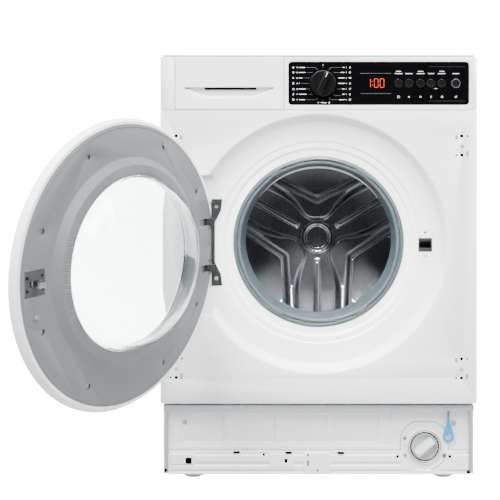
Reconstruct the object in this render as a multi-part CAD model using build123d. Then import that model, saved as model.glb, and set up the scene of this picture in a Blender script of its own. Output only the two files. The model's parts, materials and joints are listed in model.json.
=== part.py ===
from build123d import *
import math
import os

# A built-in front-loading washing machine, 595 wide, 820 high and 540 deep, in millimetres.
# Every piece is drawn with X to the right, Y into the machine from the front plane and Z up
# from the floor. export() then moves the origin to the centre of the four feet.

# Whole machine
front_width = 595.0
cabinet_width = 592.0
machine_height = 820.0
machine_depth = 540.0
cabinet_front = 22.0
sheet = 1.0
flange = 18.0
front_flange = 8.0
seam = 0.5
over = 2.0
running_gap = 0.05
free_gap = 0.3

# Feet
feet_span_x = 490.0
front_feet_y = 75.0
rear_feet_y = 485.0
foot_pad_radius = 22.0
foot_pad_height = 8.0
foot_stud_radius = 5.0
foot_stud_top = 52.0
foot_boss_radius = 12.0
foot_boss_height = 14.0

# Base tray and side panels
cabinet_bottom = 22.0
lid_height = 8.0
cabinet_top = machine_height - lid_height
tray_rim = 16.0
tray_front = 40.0
side_press_depth = 4.0
side_press_edge = 60.0
side_press_gap = 40.0

# Top cover
cover_front = 6.0
cover_half_width = 294.0

# Rear panel
rear_bottom = 60.0
rear_top = 796.0
rear_cover_radius = 185.0
rear_hole_radius = 170.0
rear_cover_dome = 5.0
transit_x = 205.0
transit_low_z = 290.0
transit_high_z = 560.0
transit_hole_radius = 10.0
transit_cap_radius = 15.0
transit_cap_length = 14.0

# Front panel, its door recess and its hinge pocket
panel_bottom = 164.0
panel_top = 715.0
panel_return = 21.7
dish_z = 464.3
dish_radius = 244.5
dish_floor_radius = 229.0
dish_floor_depth = 20.5
dish_lip = 3.0
ring_radius = 194.0
ring_step = 2.5
collar_radius = 181.0
collar_step = 4.0
neck_radius = 164.0
neck_end = 38.0
pocket_left = -238.0
pocket_right = -200.5
pocket_half_height = 133.0
pocket_depth = 43.0
latch_x = 204.0
latch_z = 459.2
latch_width = 26.0
latch_height = 26.5

# Furniture-door fixing holes in the front panel
fixing_x = 268.0
fixing_pitch = 36.5
fixing_top_z = 649.1
fixing_bottom_z = 230.0
fixing_hole_radius = 2.4
fixing_plate_width = 22.0
fixing_plate_height = 60.0
fixing_plate_thickness = 2.5

# Door
door_drop = 4.0
door_face_depth = 17.0
door_face_radius = 224.0
door_rim_radius = 234.2
door_rim_front = 6.0
door_front = 2.0
door_wall = 2.5
door_flat = 220.5
door_open_angle = 116.9
door_hinge_x = -210.5
door_hinge_y = 14.5
hinge_pin_radius = 2.0
hinge_pin_reach = 5.0
hinge_slot_depth = 39.0
hinge_hole_side = 5.0
hinge_knuckle_radius = 5.0
hinge_arm_height = 11.8
hinge_arm_half_pitch = 43.8
door_glass_radius = 141.0
door_window_radius = 150.0
door_window_opening = 146.0
door_window_thickness = 3.0
collar_ring_inner = 158.0
collar_ring_outer = 171.0
collar_ring_rise = 8.0
glass_wall = 4.0
bowl_end_radius = 122.0
bowl_end_depth = 66.0
bowl_shoulder_radius = 131.0
bowl_shoulder_depth = 54.0
bowl_slope_top_z = 137.0
bowl_slope_low_z = 79.0
door_screw_ring = 199.0
door_screw_angles = (20.6, 60.0, 112.0, 148.5)
door_screw_head_radius = 3.8
door_screw_radius = 1.8
door_screw_sink = 3.0
latch_block_width = 34.0
latch_block_height = 36.0
latch_block_x = 199.0
hook_reach = 19.0
hook_thickness = 4.0
hook_tip = 6.0
hook_pivot_sink = 5.0

# Hinge bracket on the front panel
bracket_half_height = 82.5
bracket_thickness = 2.5
bracket_overhang = 3.0
bracket_bar_width = 6.0
bracket_end_width = 20.0
bracket_end_height = 22.0
bracket_screw_half_pitch = 68.5
bracket_screw_x = -194.5
bracket_screw_sink = 1.4

# Control fascia
fascia_bottom = 716.0
fascia_top = 815.3
fascia_wall = 3.0
fascia_return = 20.0
drawer_left = -271.0
drawer_right = -64.6
drawer_recess = 16.0
glass_left = -56.8
glass_right = 282.7
glass_bottom = 725.4
glass_top = 806.1
glass_corner = 6.6
panel_glass_thickness = 1.8
panel_glass_proud = 0.3
controls_z = 765.7
knob_x = 8.1
knob_radius = 24.8
knob_dial = 5.0
knob_grip_width = 11.0
knob_grip_length = 46.0
knob_reach = 15.0
knob_gap = 0.6
knob_angle = 24.0
encoder_shaft_radius = 3.0
button_x = (150.2, 169.9, 191.5, 211.2, 231.7, 258.0)
button_radii = (7.7, 7.7, 7.7, 7.7, 7.7, 8.8)
button_clearance = 0.35
button_proud = 1.2
button_travel = 0.8
button_stem_radius = 3.0
button_length = 8.0
display_left = 78.2
display_right = 135.1
display_bottom = 746.5
display_top = 784.5
board_depth = 18.0
board_thickness = 1.6
board_margin = 8.0

# Detergent drawer and its housing
housing_wall = 2.0
housing_bottom = 731.0
housing_top = 806.0
housing_back = 262.0
drawer_gap = 1.2
drawer_front_depth = 14.0
drawer_shell = 2.5
drawer_tray_wall = 2.0
drawer_tray_top = 792.0
drawer_tray_back = 246.0
scoop_left = -252.0
scoop_right = -85.0
scoop_top = 758.7
scoop_bottom = 727.0
scoop_depth = 9.5
wash_share = 0.46
softener_share = 0.28

# Plinth
crossbar_top = 157.0
crossbar_bottom = 146.0
crossbar_front = 10.0
crossbar_back = 22.0
kick_front = 31.0
kick_top = 150.0
kick_bottom = 64.0
kick_press = 5.0
kick_panel_left = -272.0
kick_panel_right = 128.0
kick_panel_bottom = 79.0
kick_panel_top = 133.0
kick_panel_count = 4
kick_panel_gap = 12.0
bar_top = 63.0
bar_bottom = 21.0
bar_front = 22.0
bar_back = 36.0
bar_slot_pitch = 98.0
bar_slot_first = -154.0
base_rib_shares = (1.5, 4.5)
bar_slot_count = 3
bar_slot_width = 12.0
bar_slot_height = 4.0

# Drain filter and pump
filter_x = 203.4
filter_z = 71.8
filter_cap_radius = 24.8
filter_ring_radius = 31.0
filter_face = 27.0
filter_grip_reach = 11.0
filter_grip_width = 10.0
filter_grip_angle = 34.0
filter_bore = 25.2
filter_housing_end = 150.0
filter_flange_radius = 43.0
strainer_radius = 20.0
strainer_wall = 2.0
strainer_end = 128.0
strainer_mouth_radius = 12.5
pump_radius = 34.0
pump_end = 205.0
impeller_radius = 22.0
impeller_shaft_radius = 3.0
spigot_radius = 11.0
spigot_bore = 8.0

# Emergency door release
pull_x = 248.8
pull_z = 90.6
pull_y = 25.0
pull_ring_radius = 10.8
pull_hole_radius = 4.9
pull_width = 4.5
pull_thickness = 2.0

# Tub, drum and drive, about an axis that falls towards the back
drum_front = 75.0
drum_z = 455.3
drum_tilt = 5.5
drum_radius = 240.0
drum_length = 300.0
drum_sheet = 1.0
drum_mouth_radius = 149.0
drum_mouth_roll = 9.0
lifter_height = 52.0
lifter_base = 56.0
lifter_crest = 22.0
lifter_wall = 3.0
lifter_front_gap = 22.0
tub_radius = 252.0
tub_wall = 3.5
tub_front_y = -14.0
tub_back_y = 322.0
tub_joint_y = 150.0
tub_joint_rim = 8.0
tub_neck_radius = 170.0
tub_neck_front = -24.0
sump_half_width = 50.0
sump_depth = 26.0
sump_front = 40.0
sump_back = 250.0
hub_disc_radius = 35.0
hub_disc_rise = 8.0
star_rise = 14.0
star_nose = 41.0
star_notch = 88.0
star_spread = 63.0
star_arm_root = 34.0
star_arm_tip = 18.0
star_length = 200.0
back_rib_start = 49.0
back_rib_end = 190.0
back_rib_width = 12.0
spider_front = 302.0
spider_back = 314.0
spider_hub_radius = 40.0
spider_arm_width = 34.0
spider_reach = 228.0
shaft_radius = 15.0
shaft_end = 394.0
bearing_radius = 31.0
bearing_width = 15.0
bearing_hub_radius = 44.0
bearing_hub_length = 38.0
bearing_hub_end = tub_back_y + bearing_hub_length
bearing_gap = 10.0
pulley_radius = 145.0
pulley_front = 366.0
pulley_width = 18.0
pulley_rim = 8.0
pulley_hub_radius = 24.0
pulley_spokes = 6
pulley_spoke_width = 14.0
motor_x = 150.0
motor_drop = 48.0
motor_z = -(tub_radius + motor_drop)
motor_radius = 58.0
motor_front = 235.0
motor_back = 345.0
motor_shaft_radius = 7.0
motor_pulley_radius = 10.6
belt_thickness = 3.0
mount_width = 26.0
mount_depth = 16.0
heater_rod_radius = 4.0
heater_spread = 20.0
heater_z = -264.0
weight_inner = 178.0
weight_outer = 248.0
weight_front_y = -38.0
weight_half_angle = 48.0
block_left = 30.0
block_right = 190.0
block_front_y = 80.0
block_back_y = 270.0
block_top_z = 312.0

# Springs and dampers
spring_x = 222.0
spring_y = 285.0
spring_radius = 11.0
spring_bore = 7.0
spring_low = 600.0
spring_high = 796.0
hook_rod_radius = 3.0
damper_x = 100.0
damper_y = 175.0
damper_radius = 16.0
damper_rod_radius = 5.0
damper_low = 33.0
damper_high = 125.0
damper_rod_low = 96.0
damper_lug_low = 202.0
damper_lug_top = 245.0
damper_lug_half = 10.0

# Upper frame
frame_thickness = 3.0
frame_bar = 30.0
frame_front = 26.0
frame_back = 500.0

# Gasket
gasket_wall = 3.0
gasket_front_radius = 163.8
gasket_front_depth = 27.0
gasket_face_radius = 152.0
gasket_lip_radius = 139.0
gasket_lip_depth = 62.0
gasket_fold_radius = 154.0
gasket_fold_depth = 50.0

# Rear services
valve_x = 190.0
valve_z = 742.0
valve_thread_radius = 13.2
valve_thread_length = 14.0
valve_body_radius = 17.0
valve_length = 70.0
outlet_x = -180.0
outlet_z = 700.0
outlet_radius = 10.5
outlet_length = 22.0
gland_x = 60.0
gland_z = 742.0
gland_radius = 11.0
gland_bore = 4.0
gland_length = 16.0

# Internal hoses and the tub's spigots
hose_wall = 3.0
hose_bend = 40.0
filler_x = -150.0
filler_y = 118.0
filler_top = 228.0
drain_y = 60.0
supply_radius = 6.0
supply_z = 786.0
supply_y = 420.0
waste_x = -274.0
waste_turn_x = 134.0
waste_cross_y = 245.0
waste_y = 430.0
waste_z = 60.0
waste_top = 640.0

# Screws
screw_head_radius = 4.5
screw_head_height = 2.0
screw_radius = 2.0
screw_length = 8.0

door_z = dish_z - door_drop
half_front = front_width / 2
half_cabinet = cabinet_width / 2
neck_front = dish_floor_depth + ring_step + collar_step
frame_top = cabinet_top - 2 * sheet
frame_low = frame_top - frame_thickness
feet_centre_y = (front_feet_y + rear_feet_y) / 2
tub_outer = tub_radius + tub_wall


def block(x_low, x_high, y_low, y_high, z_low, z_high):
    """A box between two corners."""
    middle = Pos((x_low + x_high) / 2, (y_low + y_high) / 2, (z_low + z_high) / 2)
    return middle * Box(x_high - x_low, y_high - y_low, z_high - z_low)


def bar_x(radius, x_low, x_high, y, z):
    """A round bar along X."""
    return Pos((x_low + x_high) / 2, y, z) * Rot(0, 90, 0) * Cylinder(radius, x_high - x_low)


def bar_y(radius, x, y_low, y_high, z):
    """A round bar along Y."""
    return Pos(x, (y_low + y_high) / 2, z) * Rot(90, 0, 0) * Cylinder(radius, y_high - y_low)


def bar_z(radius, x, y, z_low, z_high):
    """A round bar along Z."""
    return Pos(x, y, (z_low + z_high) / 2) * Cylinder(radius, z_high - z_low)


def plate_y(width, height, radius, x, z, y_low, y_high):
    """A plate with rounded corners whose thickness lies along Y."""
    outline = RectangleRounded(width, height, radius)
    return Pos(x, y_high, z) * Rot(90, 0, 0) * extrude(outline, y_high - y_low)


def turned(points, x=0, z=0):
    """A solid turned about a line along Y from an outline of (radius, depth) points."""
    outline = make_face(Polyline(*points, close=True))
    return Pos(x, 0, z) * revolve(outline, Axis.Y)


def outline_xz(points, y_low, y_high):
    """A prism along Y from an outline of (x, z) points."""
    outline = make_face(Polyline(*points, close=True))
    return Pos(0, y_high, 0) * Rot(90, 0, 0) * extrude(outline, y_high - y_low)


def in_sectors(body, x, z, y_low, y_high, reach, count=8):
    """A hollow body about an axis along Y, parted in equal sectors that meet face to face."""
    step = 2 * math.pi / count
    sectors = []
    for number in range(count):
        start = number * step
        corners = [(x, z)] + [(x + reach * math.cos(start + turn), z + reach * math.sin(start + turn))
                              for turn in (0, step / 2, step)]
        sectors.append(body & outline_xz(corners, y_low, y_high))
    return sectors


def outline_yz(points, x_low, x_high):
    """A prism along X from an outline of (y, z) points."""
    outline = make_face(Polyline(*points, close=True))
    return Pos(x_low, 0, 0) * Rot(0, 0, 90) * Rot(90, 0, 0) * extrude(outline, x_high - x_low)


def about_axis(angle, piece):
    """A piece turned about the local Y axis, counted from +X towards +Z."""
    return Rot(0, -angle, 0) * piece


def in_tub(piece):
    """Carries a piece from the tub's own frame to its tilted place."""
    return Pos(0, drum_front, drum_z) * Rot(-drum_tilt, 0, 0) * piece


def door_open(piece):
    """Swings a piece of the closed door about the hinge pin to the open rest pose."""
    pin = Pos(door_hinge_x, door_hinge_y, 0)
    return pin * Rot(0, 0, -door_open_angle) * pin.inverse() * piece


def export(name, *pieces):
    """Writes one named piece, or a group of alike pieces, with the origin at the feet."""
    solids = []
    for piece in pieces:
        solids += (Pos(0, -feet_centre_y, 0) * piece).solids()
    whole = solids[0] if len(solids) == 1 else Compound(children=solids)
    whole.label = name
    export_step(whole, "parts/" + name + ".step")
    print(name, len(solids), round(sum(solid.volume for solid in solids)))


def screw_y(x, y_face, z, length=screw_length, head_radius=screw_head_radius):
    """A cross-head screw that points into the machine, with its head in front of y_face."""
    head = bar_y(head_radius, x, y_face - screw_head_height, y_face, z)
    shank = bar_y(screw_radius, x, y_face, y_face + length, z)
    slot = head_radius * 2 / 3
    cross = block(x - slot, x + slot, y_face - screw_head_height - over,
                  y_face - screw_head_height / 2, z - screw_radius / 4, z + screw_radius / 4)
    upright = block(x - screw_radius / 4, x + screw_radius / 4, y_face - screw_head_height - over,
                    y_face - screw_head_height / 2, z - slot, z + slot)
    return head + shank - cross - upright


def side_panel(side):
    """A pressed steel side with a rim all round and two shallow pressings."""
    outer = half_cabinet
    back = machine_depth - 2 * sheet
    body = block(outer - flange, outer, cabinet_front, back, cabinet_bottom, cabinet_top - sheet)
    body -= block(outer - flange - over, outer - sheet, cabinet_front + sheet, back - sheet,
                  cabinet_bottom + sheet, cabinet_top - 2 * sheet)
    body -= block(outer - flange - over, outer - front_flange, cabinet_front - over,
                  cabinet_front + 2 * sheet, cabinet_bottom - over, cabinet_top)
    low, high = cabinet_bottom + side_press_edge, cabinet_top - side_press_edge
    middle = (low + high) / 2
    for z_low, z_high in ((low, middle - side_press_gap / 2), (middle + side_press_gap / 2, high)):
        y_low, y_high = cabinet_front + side_press_edge, back - side_press_edge
        width, height = y_high - y_low, z_high - z_low
        place = Pos(outer, (y_low + y_high) / 2, (z_low + z_high) / 2) * Rot(0, 90, 0)
        tray = Pos(0, 0, -side_press_depth - sheet) * extrude(
            RectangleRounded(height, width, side_press_edge / 3), side_press_depth + sheet)
        window = Pos(0, 0, -side_press_depth) * extrude(
            RectangleRounded(height - 2 * sheet, width - 2 * sheet, side_press_edge / 3 - sheet),
            side_press_depth + over)
        body = body + place * tray - place * window
    return body if side > 0 else mirror(body, Plane.YZ)


def rear_panel():
    """The back sheet, with the service opening, transit holes and the holes for the services."""
    back = machine_depth
    half = half_cabinet - sheet - seam
    body = block(-half, half, back - 2 * sheet, back - sheet, rear_bottom, rear_top)
    hub_y, hub_z = rear_centre()
    body -= bar_y(rear_hole_radius, 0, back - 2 * sheet - over, back, hub_z)
    for x in (-transit_x, transit_x):
        for z in (transit_low_z, transit_high_z):
            body -= bar_y(transit_hole_radius, x, back - 2 * sheet - over, back, z)
    body -= bar_y(valve_body_radius, valve_x, back - 2 * sheet - over, back, valve_z)
    body -= bar_y(outlet_radius, outlet_x, back - 2 * sheet - over, back, outlet_z)
    body -= bar_y(gland_radius - screw_head_height, gland_x, back - 2 * sheet - over, back, gland_z)
    for x in (-rear_screw_x(), rear_screw_x()):
        for z in rear_screw_z():
            body -= bar_y(screw_radius, x, back - 2 * sheet - over, back, z)
    return body


def rear_centre():
    """Where the drum axis meets the back of the machine."""
    reach = machine_depth - drum_front
    return machine_depth, drum_z - reach * math.tan(math.radians(drum_tilt))


def rear_screw_x():
    """The rear screws pass the middle of the side panels' rear rims."""
    return half_cabinet - flange / 2


def rear_screw_z():
    """Heights of the screws that hold the back sheet to the sides."""
    pitch = (rear_top - rear_bottom) / 4
    return [rear_bottom + pitch * (step + 0.5) for step in range(4)]


def rear_cover():
    """The domed round service cover over the drum pulley."""
    hub_z = rear_centre()[1]
    face = machine_depth - sheet
    shell = turned([(0, face + rear_cover_dome), (rear_hole_radius - seam, face + rear_cover_dome),
                    (rear_hole_radius, face + sheet), (rear_cover_radius, face + sheet),
                    (rear_cover_radius, face), (rear_hole_radius - 2 * seam, face),
                    (rear_hole_radius - 2 * seam - sheet, face + rear_cover_dome - sheet),
                    (0, face + rear_cover_dome - sheet)], z=hub_z)
    return shell


def top_cover():
    """The flat lid of the cabinet, a shallow tray turned upside down."""
    half = cover_half_width
    back = machine_depth - sheet
    lid = block(-half, half, cover_front, back, cabinet_top, machine_height)
    return lid - block(-half + sheet, half - sheet, cover_front + sheet, back - sheet,
                       cabinet_top - over, machine_height - sheet)


def top_frame():
    """A welded steel frame under the lid that ties the sides and carries the springs."""
    half = half_cabinet - sheet - seam
    top = frame_top
    body = block(-half, half, frame_front, frame_front + frame_bar, frame_low, top)
    body += block(-half, half, frame_back, frame_back + frame_bar, frame_low, top)
    body += block(-half, half, spring_y - frame_bar / 2, spring_y + frame_bar / 2, frame_low, top)
    for side in (-1, 1):
        inner, outer = side * (half - frame_bar), side * half
        body += block(min(inner, outer), max(inner, outer), frame_front, frame_back + frame_bar,
                      frame_low, top)
        hook = bar_z(hook_rod_radius, side * spring_x, spring_y, spring_high, frame_low + seam)
        body += hook
    return body


def base_tray():
    """The floor of the cabinet, with bosses for the feet and pads for the dampers."""
    half = half_cabinet - sheet - seam
    back = machine_depth - 2 * sheet - sheet - seam
    low = cabinet_bottom + sheet
    body = block(-half, half, tray_front, back, low, low + tray_rim)
    body -= block(-half + 2 * sheet, half - 2 * sheet, tray_front + 2 * sheet, back - 2 * sheet,
                  low + 2 * sheet, low + tray_rim + over)
    for x in (-feet_span_x / 2, feet_span_x / 2):
        for y in (front_feet_y, rear_feet_y):
            body += bar_z(foot_boss_radius, x, y, low, low + foot_boss_height)
            body -= bar_z(foot_stud_radius + running_gap, x, y, low - over,
                          low + foot_boss_height + over)
    for side in (-1, 1):
        x = side * damper_x
        body += bar_z(damper_radius, x, damper_y, low + sheet, damper_low)
    return body + base_front()


def foot(x, y):
    """A levelling foot: a ribbed pad on a threaded stud."""
    pad = bar_z(foot_pad_radius, x, y, 0, foot_pad_height / 2)
    top = Pos(x, y, foot_pad_height * 3 / 4) * Cone(foot_pad_radius, foot_pad_radius / 2,
                                                   foot_pad_height / 2)
    stud = bar_z(foot_stud_radius, x, y, foot_pad_height, foot_stud_top)
    return pad + top + stud


def dish_outline(offset):
    """The recess of the front panel from its edge to its neck, as (radius, depth) points."""
    slope = dish_radius - dish_floor_radius
    ring_depth = dish_floor_depth + ring_step
    return [(dish_radius + dish_lip + offset, offset),
            (dish_radius + offset, offset),
            (dish_radius - slope / 6 + offset, dish_floor_depth / 12 + offset),
            (dish_radius - slope / 3 + offset, dish_floor_depth / 3 + offset),
            (dish_radius - slope / 2 + offset, dish_floor_depth * 2 / 3 + offset),
            (dish_radius - slope * 3 / 4 + offset, dish_floor_depth * 11 / 12 + offset),
            (dish_floor_radius + offset, dish_floor_depth + offset),
            (ring_radius + offset, dish_floor_depth + offset),
            (ring_radius - ring_step + offset, ring_depth + offset),
            (collar_radius + offset, ring_depth + offset),
            (collar_radius - collar_step + offset, neck_front + offset),
            (neck_radius + offset, neck_front + offset),
            (neck_radius + offset, neck_end)]


def front_panel():
    """The enamelled front, with the round door recess, the hinge pocket and the latch hole."""
    body = block(-half_front, half_front, 0, panel_return, panel_bottom, panel_top)
    body -= block(-half_front + sheet, half_front - sheet, sheet, panel_return + over,
                  panel_bottom + sheet, panel_top - sheet)
    body -= bar_y(dish_radius + dish_lip / 2, 0, -over, sheet + over, dish_z)
    dish = turned(dish_outline(0) + dish_outline(sheet)[::-1], z=dish_z)
    front = dish_outline(0)
    bowl = turned([(0, -over), (front[0][0], -over)] + front + [(0, neck_end)], z=dish_z)
    low, high = door_z - pocket_half_height, door_z + pocket_half_height
    pocket = block(pocket_left - sheet, pocket_right + sheet, 0, pocket_depth + sheet,
                   low - sheet, high + sheet)
    inside = block(pocket_left, pocket_right, -over, pocket_depth, low, high)
    body = body + (pocket - bowl) + dish - inside
    body -= block(latch_x - latch_width / 2, latch_x + latch_width / 2, dish_floor_depth - over,
                  dish_floor_depth + ring_step + 2 * over, latch_z - latch_height / 2,
                  latch_z + latch_height / 2)
    for x in (-fixing_x, fixing_x):
        for middle in (fixing_top_z, fixing_bottom_z):
            body += block(x - fixing_plate_width / 2, x + fixing_plate_width / 2, sheet / 2,
                          sheet + fixing_plate_thickness, middle - fixing_plate_height / 2,
                          middle + fixing_plate_height / 2)
    for x, z in fixing_holes():
        body -= bar_y(fixing_hole_radius, x, -over, sheet + 2 * fixing_plate_thickness, z)
    for z in bracket_screws():
        body -= bar_y(screw_radius, bracket_screw_x, dish_floor_depth - over,
                      neck_front + over, z)
    return body


def fixing_holes():
    """The four pairs of holes that take the hinge plates of a furniture door."""
    places = []
    for x in (-fixing_x, fixing_x):
        for middle in (fixing_top_z, fixing_bottom_z):
            places += [(x, middle + fixing_pitch / 2), (x, middle - fixing_pitch / 2)]
    return places


def bracket_screws():
    """Heights of the two screws of the hinge bracket."""
    return [dish_z - bracket_screw_half_pitch, dish_z + bracket_screw_half_pitch]


def hinge_bracket():
    """The cast bracket on the recess floor, with two arms that carry the hinge pins."""
    front = dish_floor_depth - bracket_thickness
    bar_left = pocket_right - bracket_overhang
    bar_right = bar_left + bracket_bar_width
    body = block(bar_left, bar_right, front, dish_floor_depth, dish_z - bracket_half_height,
                 dish_z + bracket_half_height)
    for side in (-1, 1):
        outer = dish_z + side * bracket_half_height
        inner = outer - side * bracket_end_height
        taper = inner - side * bracket_end_height
        body += outline_xz([(bar_left, outer), (bar_left + bracket_end_width, outer),
                            (bar_left + bracket_end_width - bracket_thickness, inner),
                            (bar_right, taper), (bar_left, taper)], front, dish_floor_depth)
        screw_z = dish_z + side * bracket_screw_half_pitch
        body -= bar_y(screw_radius, bracket_screw_x, front - over, dish_floor_depth + over, screw_z)
        body -= bar_y(screw_head_radius * 0.75 + free_gap, bracket_screw_x, front - over,
                      front + bracket_screw_sink, screw_z)
        z = door_z + side * hinge_arm_half_pitch
        low, high = z - hinge_arm_height / 2, z + hinge_arm_height / 2
        arm = block(door_hinge_x, bar_right, door_hinge_y - hinge_knuckle_radius / 2,
                    dish_floor_depth, low, high)
        arm += bar_z(hinge_knuckle_radius, door_hinge_x, door_hinge_y, low, high)
        body += arm
        body -= bar_z(hinge_pin_radius + running_gap, door_hinge_x, door_hinge_y, low - over,
                      high + over)
    return body


def flat_edge(reach):
    """Everything left of the flat on the door's hinge side."""
    size = door_rim_radius * 2
    return block(-size, -reach, -size, size, door_z - size, door_z + size)


def door_shell():
    """The white outer ring of the door, domed a little, with screw bosses inside."""
    back = door_face_depth
    outer = turned([(door_window_opening, door_front), (door_screw_ring, door_front),
                    (door_rim_radius - 2 * door_wall, door_rim_front - door_wall),
                    (door_rim_radius, door_rim_front), (door_rim_radius, door_rim_front + door_wall),
                    (door_face_radius + 2 * door_wall, back), (door_window_opening, back)], z=door_z)
    inner = turned([(door_window_opening - over, door_front + door_wall),
                    (door_screw_ring, door_front + door_wall),
                    (door_rim_radius - 3 * door_wall, door_rim_front),
                    (door_rim_radius - door_wall, door_rim_front + door_wall),
                    (door_face_radius + free_gap, back - door_wall),
                    (door_face_radius + free_gap, back + over),
                    (door_window_opening - over, back + over)], z=door_z)
    body = (outer - flat_edge(door_flat + door_wall)) - (inner - flat_edge(door_flat))
    for x, z in door_screw_places():
        boss = bar_y(2 * door_screw_radius, x, door_front + door_wall / 2,
                     door_face_depth - door_wall - door_screw_sink, z)
        body += boss - bar_y(door_screw_radius, x, door_front + door_wall, door_face_depth, z)
    for side in (-1, 1):
        body -= hinge_slot(side, door_front + door_wall)
    return body


def door_screw_places():
    """The eight screws round the door, as (x, z)."""
    places = []
    for angle in door_screw_angles:
        turn = math.radians(angle)
        x = door_screw_ring * math.cos(turn)
        rise = door_screw_ring * math.sin(turn)
        places += [(x, door_z + rise), (x, door_z - rise)]
    return places


def rim_relief(shell):
    """Trims the open door's rim just above and below the pocket, where the panel stops it."""
    for side in (-1, 1):
        near = door_z + side * (pocket_half_height - seam)
        far = door_z + side * (pocket_half_height + door_rim_front * 2)
        shell -= block(pocket_left - over, pocket_right, -seam, pocket_depth, min(near, far),
                       max(near, far))
    return shell


def hinge_slot(side, y_low):
    """The slot in the door's hinge side that lets the bracket's arm in."""
    z = door_z + side * hinge_arm_half_pitch
    half = hinge_arm_height / 2 + 2 * free_gap
    return block(-door_rim_radius, -door_flat + hinge_slot_depth, y_low,
                 door_face_depth + over, z - half, z + half)


def door_inner_ring():
    """The grey inner ring of the door, with a raised shoulder round the glass."""
    back, front = door_face_depth, door_face_depth - door_wall
    rise = collar_ring_rise
    body = turned([(door_glass_radius, front), (door_face_radius, front), (door_face_radius, back),
                   (collar_ring_outer, back), (collar_ring_inner, back + rise),
                   (door_glass_radius, back + rise)], z=door_z)
    body -= turned([(door_glass_radius + door_wall, front - over),
                    (collar_ring_outer - door_wall, front - over),
                    (collar_ring_outer - door_wall, front + free_gap),
                    (collar_ring_inner - door_wall / 2, back + rise - door_wall),
                    (door_glass_radius + door_wall, back + rise - door_wall)], z=door_z)
    body -= flat_edge(door_flat - free_gap)
    for x, z in door_screw_places():
        cup = bar_y(2 * door_screw_head_radius, x, front - door_screw_sink, front, z)
        cup -= bar_y(door_screw_radius, x, front - 2 * door_screw_sink, back, z)
        body = body + cup - bar_y(door_screw_head_radius + free_gap, x, front - door_wall / 2,
                                  back + over, z)
    for side in (-1, 1):
        body -= hinge_slot(side, front - door_screw_sink - over)
        half = hinge_hole_side / 2
        for step in (-1, 1):
            z = door_z + side * hinge_arm_half_pitch + step * hinge_arm_height * 1.1
            body -= block(door_hinge_x - half, door_hinge_x + half, front - over, back + over,
                          z - half, z + half)
        z = door_z + side * hinge_arm_half_pitch
        reach = hinge_arm_height / 2 + 4 * free_gap + hinge_pin_reach
        body -= bar_z(hinge_pin_radius + running_gap, door_hinge_x, door_hinge_y, z - reach, z + reach)
    body -= bar_y(hinge_hole_side / 2, door_hinge_x, front - over, back + over, door_z)
    body -= block(latch_block_x - latch_block_width / 2 - free_gap,
                  latch_block_x + latch_block_width / 2 + free_gap, front - over, back + over,
                  door_z - latch_block_height / 2 - free_gap,
                  door_z + latch_block_height / 2 + free_gap)
    return body


def bowl_solid(offset):
    """The bowl as a full body, drawn in by offset, with its slanted upper face."""
    base = door_face_depth - door_wall
    body = turned([(0, base - over if offset else base), (door_glass_radius - free_gap - offset,
                                                        base - over if offset else base),
                   (door_glass_radius - free_gap - offset, base + door_wall + collar_ring_rise),
                   (bowl_shoulder_radius - offset, bowl_shoulder_depth - offset / 2),
                   (bowl_end_radius - offset, bowl_end_depth - offset),
                   (0, bowl_end_depth - offset)], z=door_z)
    start = door_face_depth + collar_ring_rise - offset
    fall = bowl_slope_top_z - bowl_slope_low_z
    run = bowl_end_depth - start
    top = door_z + bowl_slope_top_z - offset
    low = door_z + bowl_slope_low_z - offset
    slant = outline_yz([(start, top), (start + 2 * run, top - 2 * fall * run / run),
                        (start + 2 * run, top + 2 * fall), (start, top + 2 * fall)],
                       -door_rim_radius, door_rim_radius)
    assert low < top
    return body - slant


def door_bowl():
    """The pressed glass bowl, clamped by its base flange between ring and shell."""
    base = door_face_depth - door_wall
    flange_ring = turned([(door_glass_radius - glass_wall - door_wall, base - glass_wall),
                          (door_window_radius - free_gap, base - glass_wall),
                          (door_window_radius - free_gap, base),
                          (door_glass_radius - glass_wall - door_wall, base)], z=door_z)
    return bowl_solid(0) - bowl_solid(glass_wall) + flange_ring


def door_window():
    """The clear outer disc of the door, held behind the shell's opening."""
    low = door_front + door_wall
    seat = turned([(0, low), (door_window_radius, low), (door_window_radius, low + door_window_thickness),
                   (0, low + door_window_thickness)], z=door_z)
    face = turned([(0, door_front - seam), (door_window_opening - 2 * free_gap, door_front),
                   (door_window_opening - 2 * free_gap, low), (0, low)], z=door_z)
    return seat + face


def door_hinge():
    """The steel plate inside the door with the two pins that the door turns on."""
    high = door_face_depth - door_wall - door_screw_sink
    low = high - door_wall
    x_low = -door_flat + free_gap
    x_high = x_low + bracket_end_width
    half = hinge_arm_height / 2 + 2 * free_gap
    reach = hinge_arm_half_pitch + half + 2 * hinge_pin_reach
    body = block(x_low, x_high, low, high, door_z - reach, door_z + reach)
    for side in (-1, 1):
        z = door_z + side * hinge_arm_half_pitch
        body -= block(x_low - over, x_high - bracket_thickness, low - over, high + over,
                      z - half, z + half)
        for step in (-1, 1):
            near, far = z + step * (half + free_gap), z + step * (half + hinge_pin_reach)
            body += block(door_hinge_x - hinge_knuckle_radius, door_hinge_x + hinge_knuckle_radius,
                          low, door_face_depth - door_wall - free_gap, min(near, far), max(near, far))
        pin = bar_z(hinge_pin_radius, door_hinge_x, door_hinge_y, z - half - hinge_pin_reach,
                    z + half + hinge_pin_reach)
        body += pin
    return body


def door_screws():
    """The eight screws that hold the grey ring to the shell."""
    face = door_face_depth - door_wall - door_wall / 2
    screws = []
    for x, z in door_screw_places():
        head = bar_y(door_screw_head_radius, x, face, face + screw_head_height, z)
        shank = bar_y(door_screw_radius, x, door_front + 2 * door_wall, face, z)
        slot = door_screw_head_radius * 2 / 3
        cut = block(x - slot, x + slot, face + screw_head_height / 2, face + 2 * screw_head_height,
                    z - door_screw_radius / 4, z + door_screw_radius / 4)
        screws.append(head + shank - cut)
    return screws


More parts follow.
